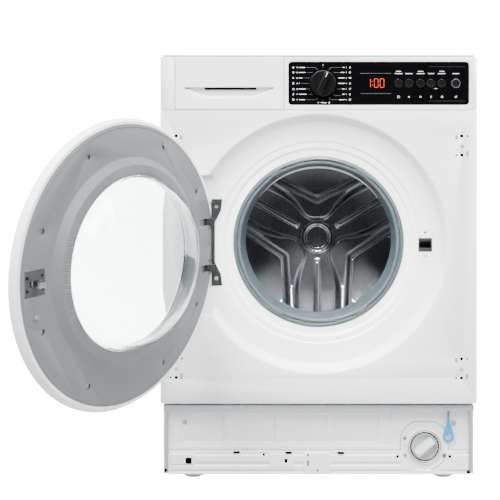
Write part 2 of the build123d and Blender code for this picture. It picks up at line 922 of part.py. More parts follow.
def latch_block():
    """The plastic block at the door's free edge that holds the hook's pin."""
    back = door_face_depth
    x_low, x_high = latch_block_x - latch_block_width / 2, latch_block_x + latch_block_width / 2
    half = latch_block_height / 2
    body = block(x_low, x_high, door_rim_front + free_gap, back, door_z - half, door_z + half)
    slot = hook_thickness
    body -= block(latch_block_x - 2 * slot, latch_block_x + 2 * slot,
                  hook_pivot_y() - hook_thickness - seam,
                  back + over, door_z - slot - free_gap, door_z + slot + free_gap)
    for x in (x_low + slot, x_high - slot):
        for z in (door_z - half / 2, door_z + half / 2):
            body -= block(x - slot / 2, x + slot / 2, back - slot, back + over, z - slot / 2,
                          z + slot / 2)
    body -= bar_z(screw_radius, latch_block_x, hook_pivot_y(), door_z - half + slot / 2,
                  door_z + half - slot / 2)
    return body


def hook_pivot_y():
    """Depth of the hook's pivot inside the latch block."""
    return door_face_depth - hook_pivot_sink


def latch_pin():
    """The pin through the latch block that the hook turns on."""
    half = latch_block_height / 2 - hook_thickness / 2
    return bar_z(screw_radius, latch_block_x, hook_pivot_y(), door_z - half, door_z + half)


def door_hook():
    """The steel hook that the door lock catches."""
    half = hook_thickness / 2
    tip = door_face_depth + hook_reach
    body = block(latch_block_x - half, latch_block_x + half, hook_pivot_y(), tip,
                 door_z - hook_thickness, door_z + hook_thickness)
    body += block(latch_block_x - half, latch_block_x + half + hook_tip, tip - hook_thickness, tip,
                  door_z - hook_thickness, door_z + hook_thickness)
    body += bar_z(hook_thickness, latch_block_x, hook_pivot_y(), door_z - hook_thickness,
                  door_z + hook_thickness)
    return body - bar_z(screw_radius + running_gap, latch_block_x, hook_pivot_y(),
                        door_z - 2 * hook_thickness, door_z + 2 * hook_thickness)


def door_lock():
    """The electric door lock behind the latch hole, with a black nose in the hole."""
    front = dish_floor_depth + ring_step + 2 * sheet
    wall = fascia_wall
    half_w, half_h = latch_width / 2 - free_gap, latch_height / 2 - free_gap
    back = front + hook_reach + wall
    body = block(latch_x - half_w - 2 * wall, latch_x + half_w + 4 * wall, front, back,
                 latch_z - half_h - 4 * wall, latch_z + half_h + 4 * wall)
    body += block(latch_x - half_w, latch_x + half_w, dish_floor_depth - sheet, front,
                  latch_z - half_h, latch_z + half_h)
    return body - block(latch_x - half_w + sheet, latch_x + half_w - sheet, 0, back - wall,
                        latch_z - half_h + 2 * wall, latch_z + half_h - 2 * wall)


def control_fascia():
    """The moulded control fascia, with the drawer bay and the recess for the glass."""
    wall = fascia_wall
    body = block(-half_front, half_front, 0, fascia_return, fascia_bottom, fascia_top)
    body -= block(-half_front + wall, half_front - wall, wall, fascia_return + over,
                  fascia_bottom + wall, fascia_top + over)
    under_lid = cabinet_top - over / 2
    body -= block(-half_front - over, half_front + over, cover_front - seam, fascia_return + over,
                  under_lid, fascia_top + over)
    body += block(-half_front, half_front, wall - seam, fascia_return, under_lid - wall, under_lid)
    bay_left, bay_right = drawer_left, drawer_right
    body += block(bay_left - wall, bay_right + wall, wall - seam, drawer_recess + wall,
                  fascia_bottom, under_lid)
    body -= block(bay_left, bay_right, -over, drawer_recess, fascia_bottom - over, fascia_top + over)
    body -= block(bay_left + wall, bay_right - wall, 0, drawer_recess + 2 * wall,
                  housing_bottom + housing_wall, housing_top - housing_wall)
    middle_x, middle_z = (glass_left + glass_right) / 2, (glass_bottom + glass_top) / 2
    width, height = glass_right - glass_left, glass_top - glass_bottom
    depth = panel_glass_thickness - panel_glass_proud
    body -= plate_y(width + 2 * free_gap, height + 2 * free_gap, glass_corner, middle_x, middle_z,
                    -over, depth)
    for x, radius in zip(button_x, button_radii):
        body += bar_y(radius + wall, x, depth, 2 * wall, controls_z)
    for x, radius in zip(button_x, button_radii):
        body -= bar_y(radius + button_clearance, x, -over, 3 * wall, controls_z)
    body -= bar_y(encoder_shaft_radius + wall, knob_x, -over, 2 * wall, controls_z)
    body -= block(display_left, display_right, -over, 2 * wall, display_bottom, display_top)
    return body


def control_glass():
    """The black control panel, a glossy plate with holes for the knob and the buttons."""
    middle_x, middle_z = (glass_left + glass_right) / 2, (glass_bottom + glass_top) / 2
    depth = panel_glass_thickness - panel_glass_proud
    body = plate_y(glass_right - glass_left, glass_top - glass_bottom, glass_corner, middle_x,
                   middle_z, -panel_glass_proud, depth)
    for x, radius in zip(button_x, button_radii):
        body -= bar_y(radius + button_clearance, x, -over, depth + over, controls_z)
    return body - bar_y(encoder_shaft_radius + fascia_wall, knob_x, -over, depth + over, controls_z)


def button_face():
    """How far the buttons stand in front of the front plane."""
    return -panel_glass_proud - button_proud


def program_knob():
    """The programme dial with its raised grip bar."""
    back = -panel_glass_proud - knob_gap
    dial_front = back - knob_dial
    tip = -knob_reach
    dial = turned([(0, back), (knob_radius, back), (knob_radius, dial_front + knob_dial / 3),
                   (knob_radius - knob_dial / 4, dial_front), (0, dial_front)])
    grip = plate_y(knob_grip_width, knob_grip_length, knob_grip_width / 3, 0, 0, tip, dial_front)
    grip = fillet(grip.edges().group_by(Axis.Y)[0], knob_dial / 4)
    body = about_axis(-knob_angle, dial + grip)
    body -= bar_y(encoder_shaft_radius + running_gap, 0, encoder_tip(), over, 0)
    return Pos(knob_x, 0, controls_z) * body


def encoder_tip():
    """Front end of the encoder's shaft inside the knob."""
    return -knob_reach + knob_dial


def button(x, radius):
    """A round push button: a crowned cap on a stem that meets its switch."""
    face = button_face()
    body = turned([(0, face), (radius - button_clearance * 2, face),
                   (radius, face + button_clearance * 2), (radius, face + button_length / 2),
                   (button_stem_radius, face + button_length / 2),
                   (button_stem_radius, face + button_length),
                   (0, face + button_length)], x=x, z=controls_z)
    return body


def control_board():
    """The circuit board with the display, the switches and the encoder."""
    y_low = board_depth
    body = block(glass_left + board_margin, glass_right - board_margin, y_low,
                 y_low + board_thickness, glass_bottom + board_margin, glass_top - board_margin)
    switch_front = button_face() + button_length + button_travel + free_gap
    for x in button_x:
        body += block(x - button_stem_radius, x + button_stem_radius, switch_front, y_low,
                      controls_z - button_stem_radius, controls_z + button_stem_radius)
    body += block(knob_x - 4 * encoder_shaft_radius, knob_x + 4 * encoder_shaft_radius,
                  fascia_wall * 2, y_low, controls_z - 4 * encoder_shaft_radius,
                  controls_z + 4 * encoder_shaft_radius)
    body += bar_y(encoder_shaft_radius, knob_x, encoder_tip() + free_gap, y_low, controls_z)
    front = panel_glass_thickness - panel_glass_proud + free_gap
    body += block(display_left + free_gap, display_right - free_gap, front, board_depth,
                  display_bottom + free_gap, display_top - free_gap)
    return body


def drawer_front():
    """The drawer's front, flush with the fascia, with a scooped handle."""
    x_low, x_high = drawer_left + drawer_gap, drawer_right - drawer_gap
    z_low, z_high = fascia_bottom + seam, fascia_top
    depth = drawer_front_depth
    shell = drawer_shell
    body = block(x_low, x_high, 0, depth, z_low, z_high)
    body -= block(x_low + shell, x_high - shell, shell, depth + over, z_low + shell, z_high - shell)
    reach = scoop_depth + shell
    ends = shell * 2
    hood = outline_yz([(0, scoop_bottom - shell), (reach, scoop_top - shell), (reach, scoop_top + shell),
                       (0, scoop_top + shell)], scoop_left - ends, scoop_right + ends)
    scoop = outline_yz([(-over, scoop_bottom - over), (scoop_depth, scoop_top - ends),
                        (scoop_depth, scoop_top), (-over, scoop_top)], scoop_left, scoop_right)
    body = body + hood - scoop
    body += block(x_low + shell, x_high - shell, depth - shell, depth, housing_bottom + ends,
                  drawer_tray_top)
    return body - block(x_low - over, x_high + over, cover_front - seam, depth + over,
                        cabinet_top - sheet, fascia_top + over)


def drawer_tray():
    """The detergent tray as its floor, its four walls and the two walls between compartments."""
    wall = drawer_tray_wall
    x_low, x_high = tray_sides()
    z_low = housing_bottom + housing_wall + drawer_gap
    y_low, y_high = drawer_front_depth + wall, drawer_tray_back - wall
    floor = z_low + wall
    pieces = [block(x_low, x_high, drawer_front_depth, drawer_tray_back, z_low, floor),
              block(x_low, x_high, drawer_front_depth, y_low, floor, drawer_tray_top),
              block(x_low, x_high, y_high, drawer_tray_back, floor, drawer_tray_top)]
    inner = compartments()
    edges = [x_low] + [stop for start, stop in inner]
    return pieces + [block(edge, edge + wall, y_low, y_high, floor, drawer_tray_top) for edge in edges]


def tray_sides():
    """Left and right faces of the detergent tray."""
    margin = fascia_wall + housing_wall + drawer_gap
    return drawer_left + margin, drawer_right - margin


def compartments():
    """Left and right inner faces of the three compartments of the tray."""
    wall = drawer_tray_wall
    x_low, x_high = tray_sides()
    clear = x_high - x_low - 4 * wall
    widths = [clear * wash_share, clear * softener_share,
              clear * (1 - wash_share - softener_share)]
    spans, start = [], x_low + wall
    for width in widths:
        spans.append((start, start + width))
        start += width + wall
    return spans


def siphon_cap():
    """The lift-out siphon cover of the softener compartment."""
    start, stop = compartments()[1]
    wall = drawer_tray_wall
    y_high = drawer_tray_back - wall - free_gap
    y_low = y_high - (stop - start)
    low = housing_bottom + housing_wall + drawer_gap + wall
    body = block(start + free_gap, stop - free_gap, y_low, y_high,
                 drawer_tray_top - 5 * wall, drawer_tray_top - 4 * wall)
    middle_x, middle_y = (start + stop) / 2, (y_low + y_high) / 2
    body += bar_z(4 * wall, middle_x, middle_y, low, drawer_tray_top - 4 * wall)
    return body - bar_z(3 * wall, middle_x, middle_y, low - over, drawer_tray_top - 6 * wall)


def dispenser_housing():
    """The box that the drawer slides in, wall by wall, with the water outlet in its floor."""
    wall = housing_wall
    x_low, x_high = drawer_left + fascia_wall, drawer_right - fascia_wall
    front = drawer_recess + fascia_wall + seam / 5
    outlet_x_mid, outlet_y = (x_low + x_high) / 2, housing_back - spigot_radius * 2
    floor = block(x_low, x_high, front, housing_back, housing_bottom, housing_bottom + wall)
    floor += bar_z(spigot_radius, outlet_x_mid, outlet_y, housing_bottom - spigot_radius / 2,
                   housing_bottom + wall / 2)
    floor -= bar_z(spigot_bore, outlet_x_mid, outlet_y, housing_bottom - spigot_radius,
                   housing_bottom + 2 * wall)
    low, high = housing_bottom + wall, housing_top - wall
    return [floor, block(x_low, x_high, front, housing_back, high, housing_top),
            block(x_low, x_low + wall, front, housing_back, low, high),
            block(x_high - wall, x_high, front, housing_back, low, high),
            block(x_low + wall, x_high - wall, housing_back - wall, housing_back, low, high)]


def lower_crossbar():
    """The rail under the front panel, with its lug for the release strap."""
    half = half_cabinet - sheet - seam
    body = block(-half, half, crossbar_front, crossbar_back, crossbar_bottom, crossbar_top)
    return body - block(-half - over, half + over, crossbar_front + sheet, crossbar_back + over,
                        crossbar_bottom + sheet, crossbar_top - sheet)


def kick_plate():
    """The recessed plinth plate, with pressed panels and an arch round the filter."""
    half = half_cabinet - front_flange - seam
    body = block(-half, half, kick_front, kick_front + sheet, kick_bottom, kick_top)
    body += block(-half, -half + sheet, cabinet_front + 2 * sheet, kick_front, kick_bottom, kick_top)
    body += block(half - sheet, half, cabinet_front + 2 * sheet, kick_front, kick_bottom, kick_top)
    pitch = (kick_panel_right - kick_panel_left + kick_panel_gap) / kick_panel_count
    height = kick_panel_top - kick_panel_bottom
    for step in range(kick_panel_count):
        x = kick_panel_left + pitch * step + (pitch - kick_panel_gap) / 2
        z = (kick_panel_bottom + kick_panel_top) / 2
        width = pitch - kick_panel_gap
        body += plate_y(width, height, kick_press, x, z, kick_front, kick_front + kick_press + sheet)
        body -= plate_y(width - 2 * sheet, height - 2 * sheet, kick_press - sheet, x, z,
                        kick_front - over, kick_front + kick_press)
    arch = filter_flange_radius + seam
    body -= bar_y(arch, filter_x, kick_front - over, kick_front + over, filter_z)
    body -= block(filter_x - arch, filter_x + arch, kick_front - over, kick_front + over,
                  kick_bottom - over, filter_z)
    for x, y, z in kick_screws():
        body -= bar_y(screw_radius, x, kick_front - over, y + 2 * over, z)
    return body


def kick_screws():
    """The two screws of the plinth plate, the left one inside a pressed panel."""
    z = kick_panel_top - flange
    return [(kick_panel_left + 2 * kick_press + screw_head_radius, kick_front + kick_press, z),
            (half_cabinet - 2 * flange, kick_front, z)]


def base_front():
    """The ribbed steel front of the base, with its slots."""
    half = half_cabinet - front_flange - seam
    body = block(-half, half, bar_front, bar_back, bar_bottom, bar_top)
    body -= block(-half - over, half + over, bar_front + sheet, bar_back + over,
                  bar_bottom + sheet, bar_top - sheet)
    rib = (bar_top - bar_bottom) / 8
    for share in base_rib_shares:
        z = bar_bottom + share * rib
        body += block(-half + flange, filter_x - 2 * filter_ring_radius, bar_front - rib / 3,
                      bar_front + sheet, z, z + rib)
    for step in range(bar_slot_count):
        x = bar_slot_first + step * bar_slot_pitch
        body -= block(x - bar_slot_width / 2, x + bar_slot_width / 2, bar_front - 2 * over,
                      bar_front + over, bar_top - 2 * bar_slot_height, bar_top - bar_slot_height)
    square = bar_slot_width
    body -= block(-half + 3 * square, -half + 4 * square, bar_front - 2 * over, bar_front + over,
                  (bar_bottom + bar_top) / 2, (bar_bottom + bar_top) / 2 + square)
    arch = filter_flange_radius + seam
    body -= bar_y(arch, filter_x, bar_front - 2 * over, bar_back + over, filter_z)
    return body + block(-half, filter_x - arch - over, bar_front + sheet / 2, tray_front + sheet,
                        cabinet_bottom + sheet, cabinet_bottom + 2 * sheet)


def filter_housing():
    """The drain filter's housing: flange, pump chamber and the filter tube in eight sectors."""
    front = kick_front - sheet
    outer = filter_bore + 2 * strainer_wall
    body = bar_y(filter_flange_radius, filter_x, front, front + 2 * sheet, filter_z)
    body += turned([(filter_bore, filter_face - sheet), (filter_ring_radius, filter_face - sheet),
                    (filter_ring_radius, front + sheet), (filter_bore, front + sheet)],
                   x=filter_x, z=filter_z)
    body += bar_y(outer, filter_x, front, filter_housing_end, filter_z)
    body += bar_y(pump_radius, filter_x, filter_housing_end, pump_end, filter_z)
    body -= bar_y(filter_bore, filter_x, 0, filter_housing_end - 2 * strainer_wall, filter_z)
    body -= bar_y(impeller_radius + over, filter_x, filter_housing_end + 2 * strainer_wall,
                  pump_end - strainer_wall, filter_z)
    body -= bar_y(spigot_bore, filter_x, filter_housing_end - 3 * strainer_wall,
                  filter_housing_end + 3 * strainer_wall, filter_z)
    body -= bar_y(impeller_shaft_radius + running_gap, filter_x, pump_end - 2 * strainer_wall,
                  pump_end + over, filter_z)
    inlet = bar_z(spigot_radius, filter_x, sump_spigot_y(), filter_z + filter_bore,
                  filter_z + filter_bore + 3 * spigot_radius)
    body += inlet
    body -= bar_z(spigot_bore, filter_x, sump_spigot_y(), filter_z,
                  filter_z + filter_bore + 4 * spigot_radius)
    outlet_y = (filter_housing_end + pump_end) / 2
    body += bar_x(spigot_radius, filter_x - pump_radius - spigot_radius, filter_x - pump_radius / 2,
                  outlet_y, filter_z)
    body -= bar_x(spigot_bore, filter_x - pump_radius - 3 * spigot_radius, filter_x,
                  outlet_y, filter_z)
    body -= bar_y(impeller_radius + over, filter_x, filter_housing_end + 2 * strainer_wall,
                  pump_end - strainer_wall, filter_z)
    for x, z in filter_screws():
        body -= bar_y(screw_radius, x, front - over, front + 3 * sheet, z)
    ends = [filter_face - 2 * sheet, front + 2 * sheet, filter_housing_end - 2 * strainer_wall,
            pump_end + over]
    reach = 3 * filter_flange_radius
    flange, filter_tube, chamber = [
        body & block(filter_x - reach, filter_x + reach, low, high, filter_z - reach,
                     filter_z + reach) for low, high in zip(ends, ends[1:])]
    return [flange, chamber] + in_sectors(filter_tube, filter_x, filter_z, ends[1], ends[2], reach)


def sump_spigot_y():
    """Depth of the spigots that the sump hose joins."""
    return in_machine(0, drain_y, -tub_radius - spigot_radius)[1]


def filter_screws():
    """The three screws of the filter flange."""
    reach = (filter_flange_radius + filter_ring_radius) / 2
    places = []
    for angle in (160.0, 208.0, -28.0):
        turn = math.radians(angle)
        places.append((filter_x + reach * math.cos(turn), filter_z + reach * math.sin(turn)))
    return places


def filter_cap():
    """The round filter cap with its grip bar, on a spindle that holds the strainer."""
    thick = 3 * strainer_wall
    face = filter_face + thick
    cap = bar_y(filter_cap_radius, 0, filter_face, face + thick, 0)
    cap -= bar_y(filter_cap_radius - strainer_wall, 0, filter_face - over, face, 0)
    grip = block(-filter_cap_radius + strainer_wall, filter_cap_radius - strainer_wall,
                 filter_face - filter_grip_reach, face + strainer_wall, -filter_grip_width / 2,
                 filter_grip_width / 2)
    spindle = bar_y(2 * strainer_wall, 0, face + thick, face + 4 * thick, 0)
    return Pos(filter_x, 0, filter_z) * about_axis(filter_grip_angle, cap + grip + spindle)


def filter_strainer():
    """The lint basket: a front ring, a slotted cage and a rim round its open far end."""
    thick = 3 * strainer_wall
    start = filter_face + 2 * thick + free_gap
    body = bar_y(strainer_radius, filter_x, start, strainer_end, filter_z)
    body -= bar_y(strainer_radius - strainer_wall, filter_x, start + thick,
                  strainer_end - strainer_wall, filter_z)
    body -= bar_y(2 * strainer_wall + running_gap, filter_x, start - over, start + 2 * thick,
                  filter_z)
    body -= bar_y(strainer_mouth_radius, filter_x, strainer_end - 2 * strainer_wall,
                  strainer_end + over, filter_z)
    pitch = (strainer_end - start - 3 * thick) / 4
    for step in range(4):
        y_low = start + 2 * thick + step * pitch
        body -= block(filter_x - strainer_radius - over, filter_x + strainer_radius + over, y_low,
                      y_low + pitch * 0.6, filter_z - strainer_radius / 2, filter_z + strainer_radius / 2)
    ends = [start, start + thick, strainer_end - strainer_wall, strainer_end]
    reach = 2 * strainer_radius
    ring, cage, rim = [
        body & block(filter_x - reach, filter_x + reach, low, high, filter_z - reach,
                     filter_z + reach) for low, high in zip(ends, ends[1:])]
    return ([ring] + in_sectors(cage, filter_x, filter_z, ends[1], ends[2], reach)
            + in_sectors(rim, filter_x, filter_z, ends[2], ends[3], reach))


def pump_motor():
    """The drain pump's motor on the back of its chamber."""
    start = pump_end
    body = bar_y(pump_radius * 0.8, filter_x, start, start + pump_radius * 1.6, filter_z)
    return body - bar_y(impeller_shaft_radius + running_gap, filter_x, start - over,
                        start + pump_radius, filter_z)


def pump_impeller():
    """The pump's impeller: a disc with four vanes on its shaft."""
    y_low = filter_housing_end + 4 * strainer_wall
    y_high = pump_end - 2 * strainer_wall
    body = bar_y(impeller_radius, filter_x, y_high - strainer_wall, y_high, filter_z)
    for quarter in range(2):
        vane = block(-impeller_radius + strainer_wall, impeller_radius - strainer_wall, y_low,
                     y_high - strainer_wall / 2, -strainer_wall / 2, strainer_wall / 2)
        body += Pos(filter_x, 0, filter_z) * about_axis(90 * quarter, vane)
    return body + bar_y(impeller_shaft_radius, filter_x, y_low, pump_end + pump_radius * 0.8, filter_z)


def emergency_pull():
    """The blue strap and ring that open the lock by hand."""
    pull_top = latch_z - latch_height / 2 - 4 * fascia_wall
    y_low, y_high = pull_y - pull_thickness / 2, pull_y + pull_thickness / 2
    body = bar_y(pull_ring_radius, pull_x, y_low, y_high, pull_z)
    half = pull_width / 2
    flare = pull_ring_radius * 0.7
    body += outline_xz([(pull_x - flare, pull_z), (pull_x + flare, pull_z),
                        (pull_x + half, pull_z + 3 * pull_ring_radius), (pull_x + half, pull_top),
                        (pull_x - half, pull_top), (pull_x - half, pull_z + 3 * pull_ring_radius)],
                       y_low, y_high)
    body += block(pull_x - 6 * pull_width, pull_x + half, y_low, y_high, pull_top - pull_width,
                  pull_top)
    return body - bar_y(pull_hole_radius, pull_x, y_low - over, y_high + over, pull_z)


def drum_shell():
    """The drum's steel cylinder."""
    outer, inner = drum_radius, drum_radius - drum_sheet
    return in_tub(bar_y(outer, 0, drum_mouth_roll, drum_length - drum_sheet, 0)
                  - bar_y(inner, 0, 0, drum_length, 0))


def drum_mouth():
    """The drum's front ring, drawn in to the rolled edge of its mouth."""
    edge, roll, t = drum_mouth_radius, drum_mouth_roll, drum_sheet
    inner = drum_radius - t - seam / 5
    return in_tub(turned([(edge + roll / 2, 0), (drum_radius - 2 * roll, roll / 2), (inner, 2 * roll),
                          (inner - t, 2 * roll), (drum_radius - 2 * roll - t, roll / 2 + t),
                          (edge + roll / 2, t), (edge + t, roll / 3), (edge + t, roll),
                          (edge, roll), (edge, roll / 3)]))


def star_lobe(inset=0):
    """One V-shaped lobe of the drum's back, its rounded nose towards the hub."""
    spread = math.radians(star_spread)
    along = (math.sin(spread), math.cos(spread))
    across = (along[1], -along[0])
    notch = (0, star_notch)
    far = (along[0] * star_length, star_notch + along[1] * star_length)
    near = (along[0] * star_arm_root * 4 / 3 + across[0] * star_arm_root,
            star_notch + along[1] * star_arm_root * 4 / 3 + across[1] * star_arm_root)
    tip = (far[0] + across[0] * star_arm_tip, far[1] + across[1] * star_arm_tip)
    nose = [(star_nose * 2 / 3, star_nose * 7 / 6), (star_nose * 2 / 7, star_nose)]
    right = [far, tip, near] + nose
    left = [(-x, z) for x, z in right[::-1]]
    outline = make_face(Polyline(notch, *right, *left, close=True))
    if inset:
        outline = offset(outline, amount=-inset)
    y_low = drum_length - drum_sheet - star_rise + inset
    y_high = drum_length - drum_sheet / 2 + inset
    return Pos(0, y_high, 0) * Rot(90, 0, 0) * extrude(outline, y_high - y_low)


def drum_back():
    """The drum's pressed back with its three raised lobes, three ribs and the hub."""
    t = drum_sheet
    body = bar_y(drum_radius, 0, drum_length - t, drum_length, 0)
    hollow = bar_y(hub_disc_radius - t, 0, drum_length - hub_disc_rise + t, drum_length + t, 0)
    body += bar_y(hub_disc_radius, 0, drum_length - hub_disc_rise, drum_length - t / 2, 0)
    for step in range(3):
        body += about_axis(120 * step, star_lobe())
        hollow += about_axis(120 * step, star_lobe(t))
        rib = block(back_rib_start, back_rib_end, drum_length - t - back_rib_width / 2,
                    drum_length - t / 2, -back_rib_width / 2, back_rib_width / 2)
        body += about_axis(30 + 120 * step, rib)
    body = (body - hollow) & bar_y(drum_radius, 0, 0, drum_length, 0)
    body -= (bar_y(drum_radius + over, 0, 0, drum_length - t, 0)
             - bar_y(drum_radius - t - seam / 5, 0, -over, drum_length, 0))
    return in_tub(body)


def drum_lifters():
    """The three moulded lifters inside the drum, hollow towards its wall."""
    lifters = []
    inner = drum_radius - drum_sheet - seam / 5
    y_low = drum_mouth_roll * 2 + lifter_front_gap
    y_high = drum_length - drum_sheet - star_rise - 2 * seam
    for step in range(3):
        rail = lifter_rail(0, inner, y_low, y_high)
        rail -= lifter_rail(lifter_wall, inner, y_low + lifter_wall, y_high - lifter_wall)
        rail &= bar_y(inner, 0, y_low - over, y_high + over, 0)
        lifters.append(in_tub(about_axis(30 + 120 * step, rail)))
    return lifters


def lifter_rail(inset, inner, y_low, y_high):
    """The lifter's tapered section, drawn in by inset, run along the drum."""
    base, crest = lifter_base / 2 - inset, lifter_crest / 2 - inset
    top = inner - lifter_height + inset
    return outline_xz([(inner + over, base), (top + crest, crest), (top, crest / 2),
                       (top, -crest / 2), (top + crest, -crest), (inner + over, -base)],
                      y_low, y_high)


def drum_spider():
    """The three-armed casting that carries the drum on its shaft."""
    body = bar_y(spider_hub_radius, 0, drum_length, spider_back, 0)
    for step in range(3):
        arm = block(0, spider_reach, spider_front - over, spider_back, -spider_arm_width / 2,
                    spider_arm_width / 2)
        arm += block(spider_reach - spider_arm_width, spider_reach, drum_length, spider_back,
                     -spider_arm_width / 2, spider_arm_width / 2)
        body += about_axis(90 + 120 * step, arm)
    return in_tub(body - bar_y(shaft_radius - running_gap, 0, spider_front, spider_back + over, 0))


def drum_shaft():
    """The drum's shaft through both bearings."""
    return in_tub(bar_y(shaft_radius - running_gap, 0, spider_front, shaft_end, 0))


def drum_pulley():
    """The spoked pulley on the shaft's end."""
    y_low, y_high = pulley_front, pulley_front + pulley_width
    bore = shaft_radius - running_gap
    body = bar_y(pulley_radius, 0, y_low, y_high, 0)
    body -= bar_y(pulley_radius - pulley_rim, 0, y_low - over, y_high + over, 0)
    body += bar_y(pulley_hub_radius, 0, y_low, y_high, 0)
    for step in range(pulley_spokes):
        spoke = block(bore, pulley_radius - pulley_rim / 2, y_low + pulley_width / 3,
                      y_high - pulley_width / 3, -pulley_spoke_width / 2, pulley_spoke_width / 2)
        body += about_axis(360 / pulley_spokes * step, spoke)
    return in_tub(body - bar_y(bore, 0, y_low - over, y_high + over, 0))


def tub_cavity():
    """The hollow of the tub, its sump trough included."""
    body = bar_y(tub_radius, 0, tub_front_y + tub_wall, tub_back_y, 0)
    return body + block(-sump_half_width, sump_half_width, sump_front, sump_back,
                        -tub_radius - sump_depth, -tub_radius / 2)


def tub_body():
    """The outside of the tub as a full body, its sump trough included."""
    body = bar_y(tub_outer, 0, tub_front_y, tub_back_y + tub_wall, 0)
    return body + block(-sump_half_width - tub_wall, sump_half_width + tub_wall,
                        sump_front - tub_wall, sump_back + tub_wall,
                        -tub_radius - sump_depth - tub_wall, -tub_radius / 2)


def half_of_tub(y_low, y_high):
    """Everything between two depths of the tub's own frame."""
    size = 2 * tub_outer
    return block(-size, size, y_low, y_high, -size, size)


def tub_front():
    """The front half of the tub, with the neck that takes the gasket."""
    body = tub_body() & half_of_tub(tub_front_y - over, tub_joint_y)
    body += bar_y(tub_outer + tub_joint_rim, 0, tub_joint_y - 2 * tub_wall, tub_joint_y, 0)
    body += bar_y(tub_neck_radius + tub_wall, 0, tub_neck_front, tub_front_y + tub_wall, 0)
    for side in (-1, 1):
        body += damper_lug(side)
    for x, y, reach in tub_spigots():
        body += bar_z(spigot_radius, x, y, 0, reach) if reach > 0 else bar_x(
            spigot_radius, sump_half_width, x, y, -tub_radius - spigot_radius)
    body -= tub_cavity()
    for x, y, reach in tub_spigots():
        body -= bar_z(spigot_bore, x, y, 0, reach + over) if reach > 0 else bar_x(
            spigot_bore, 0, x + over, y, -tub_radius - spigot_radius)
    body -= bar_y(tub_neck_radius, 0, tub_neck_front - over, tub_front_y + 2 * tub_wall, 0)
    return in_tub(body)


def tub_spigots():
    """Where the filling and draining hoses join the tub, in the tub's own frame."""
    return [(filler_x, filler_y, filler_top), (sump_half_width + 2 * spigot_radius, drain_y, 0)]


def tub_back():
    """The back half of the tub, with the bearing hub, spring lugs and motor arms."""
    body = tub_body() & half_of_tub(tub_joint_y, tub_back_y + 2 * tub_wall)
    body += bar_y(tub_outer + tub_joint_rim, 0, tub_joint_y, tub_joint_y + 2 * tub_wall, 0)
    body += bar_y(bearing_hub_radius, 0, tub_back_y, bearing_hub_end, 0)
    reach = math.hypot(motor_x, motor_z)
    angle = math.degrees(math.atan2(motor_z, motor_x))
    for y_low in (motor_front + mount_depth, motor_back - 2 * mount_depth):
        arm = block(tub_radius, reach - motor_radius + free_gap, y_low, y_low + mount_depth,
                    -mount_width / 2, mount_width / 2)
        body += about_axis(angle, arm)
    body -= bar_y(motor_radius, motor_x, motor_front - over, motor_back + over, motor_z)
    for side in (-1, 1):
        body += spring_lug(side)
    body -= tub_cavity()
    body -= bar_y(spider_hub_radius - 3 * tub_wall, 0, tub_back_y - over, tub_back_y + 2 * tub_wall, 0)
    body -= bar_y(bearing_radius, 0, tub_back_y + tub_wall, bearing_hub_end + over, 0)
    body -= bar_y(shaft_radius + over, 0, tub_back_y - over, bearing_hub_end + over, 0)
    for x in (-heater_spread, heater_spread):
        body -= bar_y(heater_rod_radius + running_gap, x, sump_back - over,
                      sump_back + 2 * tub_wall, heater_z)
    return in_tub(body)


def out_of_tub(piece):
    """Carries a piece from the machine's frame into the tub's own frame."""
    place = Pos(0, drum_front, drum_z) * Rot(-drum_tilt, 0, 0)
    return place.inverse() * piece


def spring_lug(side):
    """A lug on the tub's flank that the suspension spring hooks into."""
    x = side * spring_x
    half = spring_radius
    low = spring_low - 2 * spring_radius
    lug = block(x - half, x + half, spring_y - half, spring_y + half, low, spring_low - free_gap)
    root = block(min(x, 0.9 * x), max(x, 0.9 * x), spring_y - half / 2, spring_y + half / 2,
                 low - 2 * spring_radius, spring_low - free_gap)
    return out_of_tub(lug + root)


def damper_lug(side):
    """A lug under the tub that a damper rod meets."""
    x = side * damper_x
    half = damper_lug_half
    return out_of_tub(block(x - half, x + half, damper_y - half, damper_y + half, damper_lug_low,
                            damper_lug_top))


def drum_bearings():
    """The two ball bearings in the tub's hub, drawn as plain rings."""
    rings = []
    for y_low in (tub_back_y + tub_wall + bearing_gap, bearing_hub_end - bearing_width):
        ring = bar_y(bearing_radius, 0, y_low, y_low + bearing_width, 0)
        rings.append(in_tub(ring - bar_y(shaft_radius, 0, y_low - over, y_low + bearing_width + over, 0)))
    return rings


def heater():
    """The immersion heater in the sump, a hairpin of tube on a flange."""
    y_back = sump_back + tub_wall
    y_front = sump_front + heater_spread * 2
    body = bar_y(heater_rod_radius, -heater_spread, y_front, y_back + heater_rod_radius / 2, heater_z)
    body += bar_y(heater_rod_radius, heater_spread, y_front, y_back + heater_rod_radius / 2, heater_z)
    bend = revolve(Plane.XZ * Pos(heater_spread, 0) * Circle(heater_rod_radius), Axis.Z, -180)
    body += Pos(0, y_front, heater_z) * bend
    half = heater_spread + 3 * heater_rod_radius
    rise = 2 * heater_rod_radius
    body += block(-half, half, y_back, y_back + heater_rod_radius, heater_z - rise, heater_z + rise)
    return in_tub(body)


def motor_housing():
    """The drive motor's housing, with a bore for the rotor's shaft."""
    body = bar_y(motor_radius, motor_x, motor_front, motor_back, motor_z)
    for y in (motor_front + mount_depth / 2, motor_back - mount_depth / 2 - tub_wall):
        body -= (bar_y(motor_radius + over, motor_x, y, y + tub_wall, motor_z)
                 - bar_y(motor_radius - tub_wall, motor_x, y - over, y + 2 * tub_wall, motor_z))
    bore = motor_shaft_radius + running_gap
    return in_tub(body - bar_y(bore, motor_x, motor_front + mount_depth, motor_back + over, motor_z))


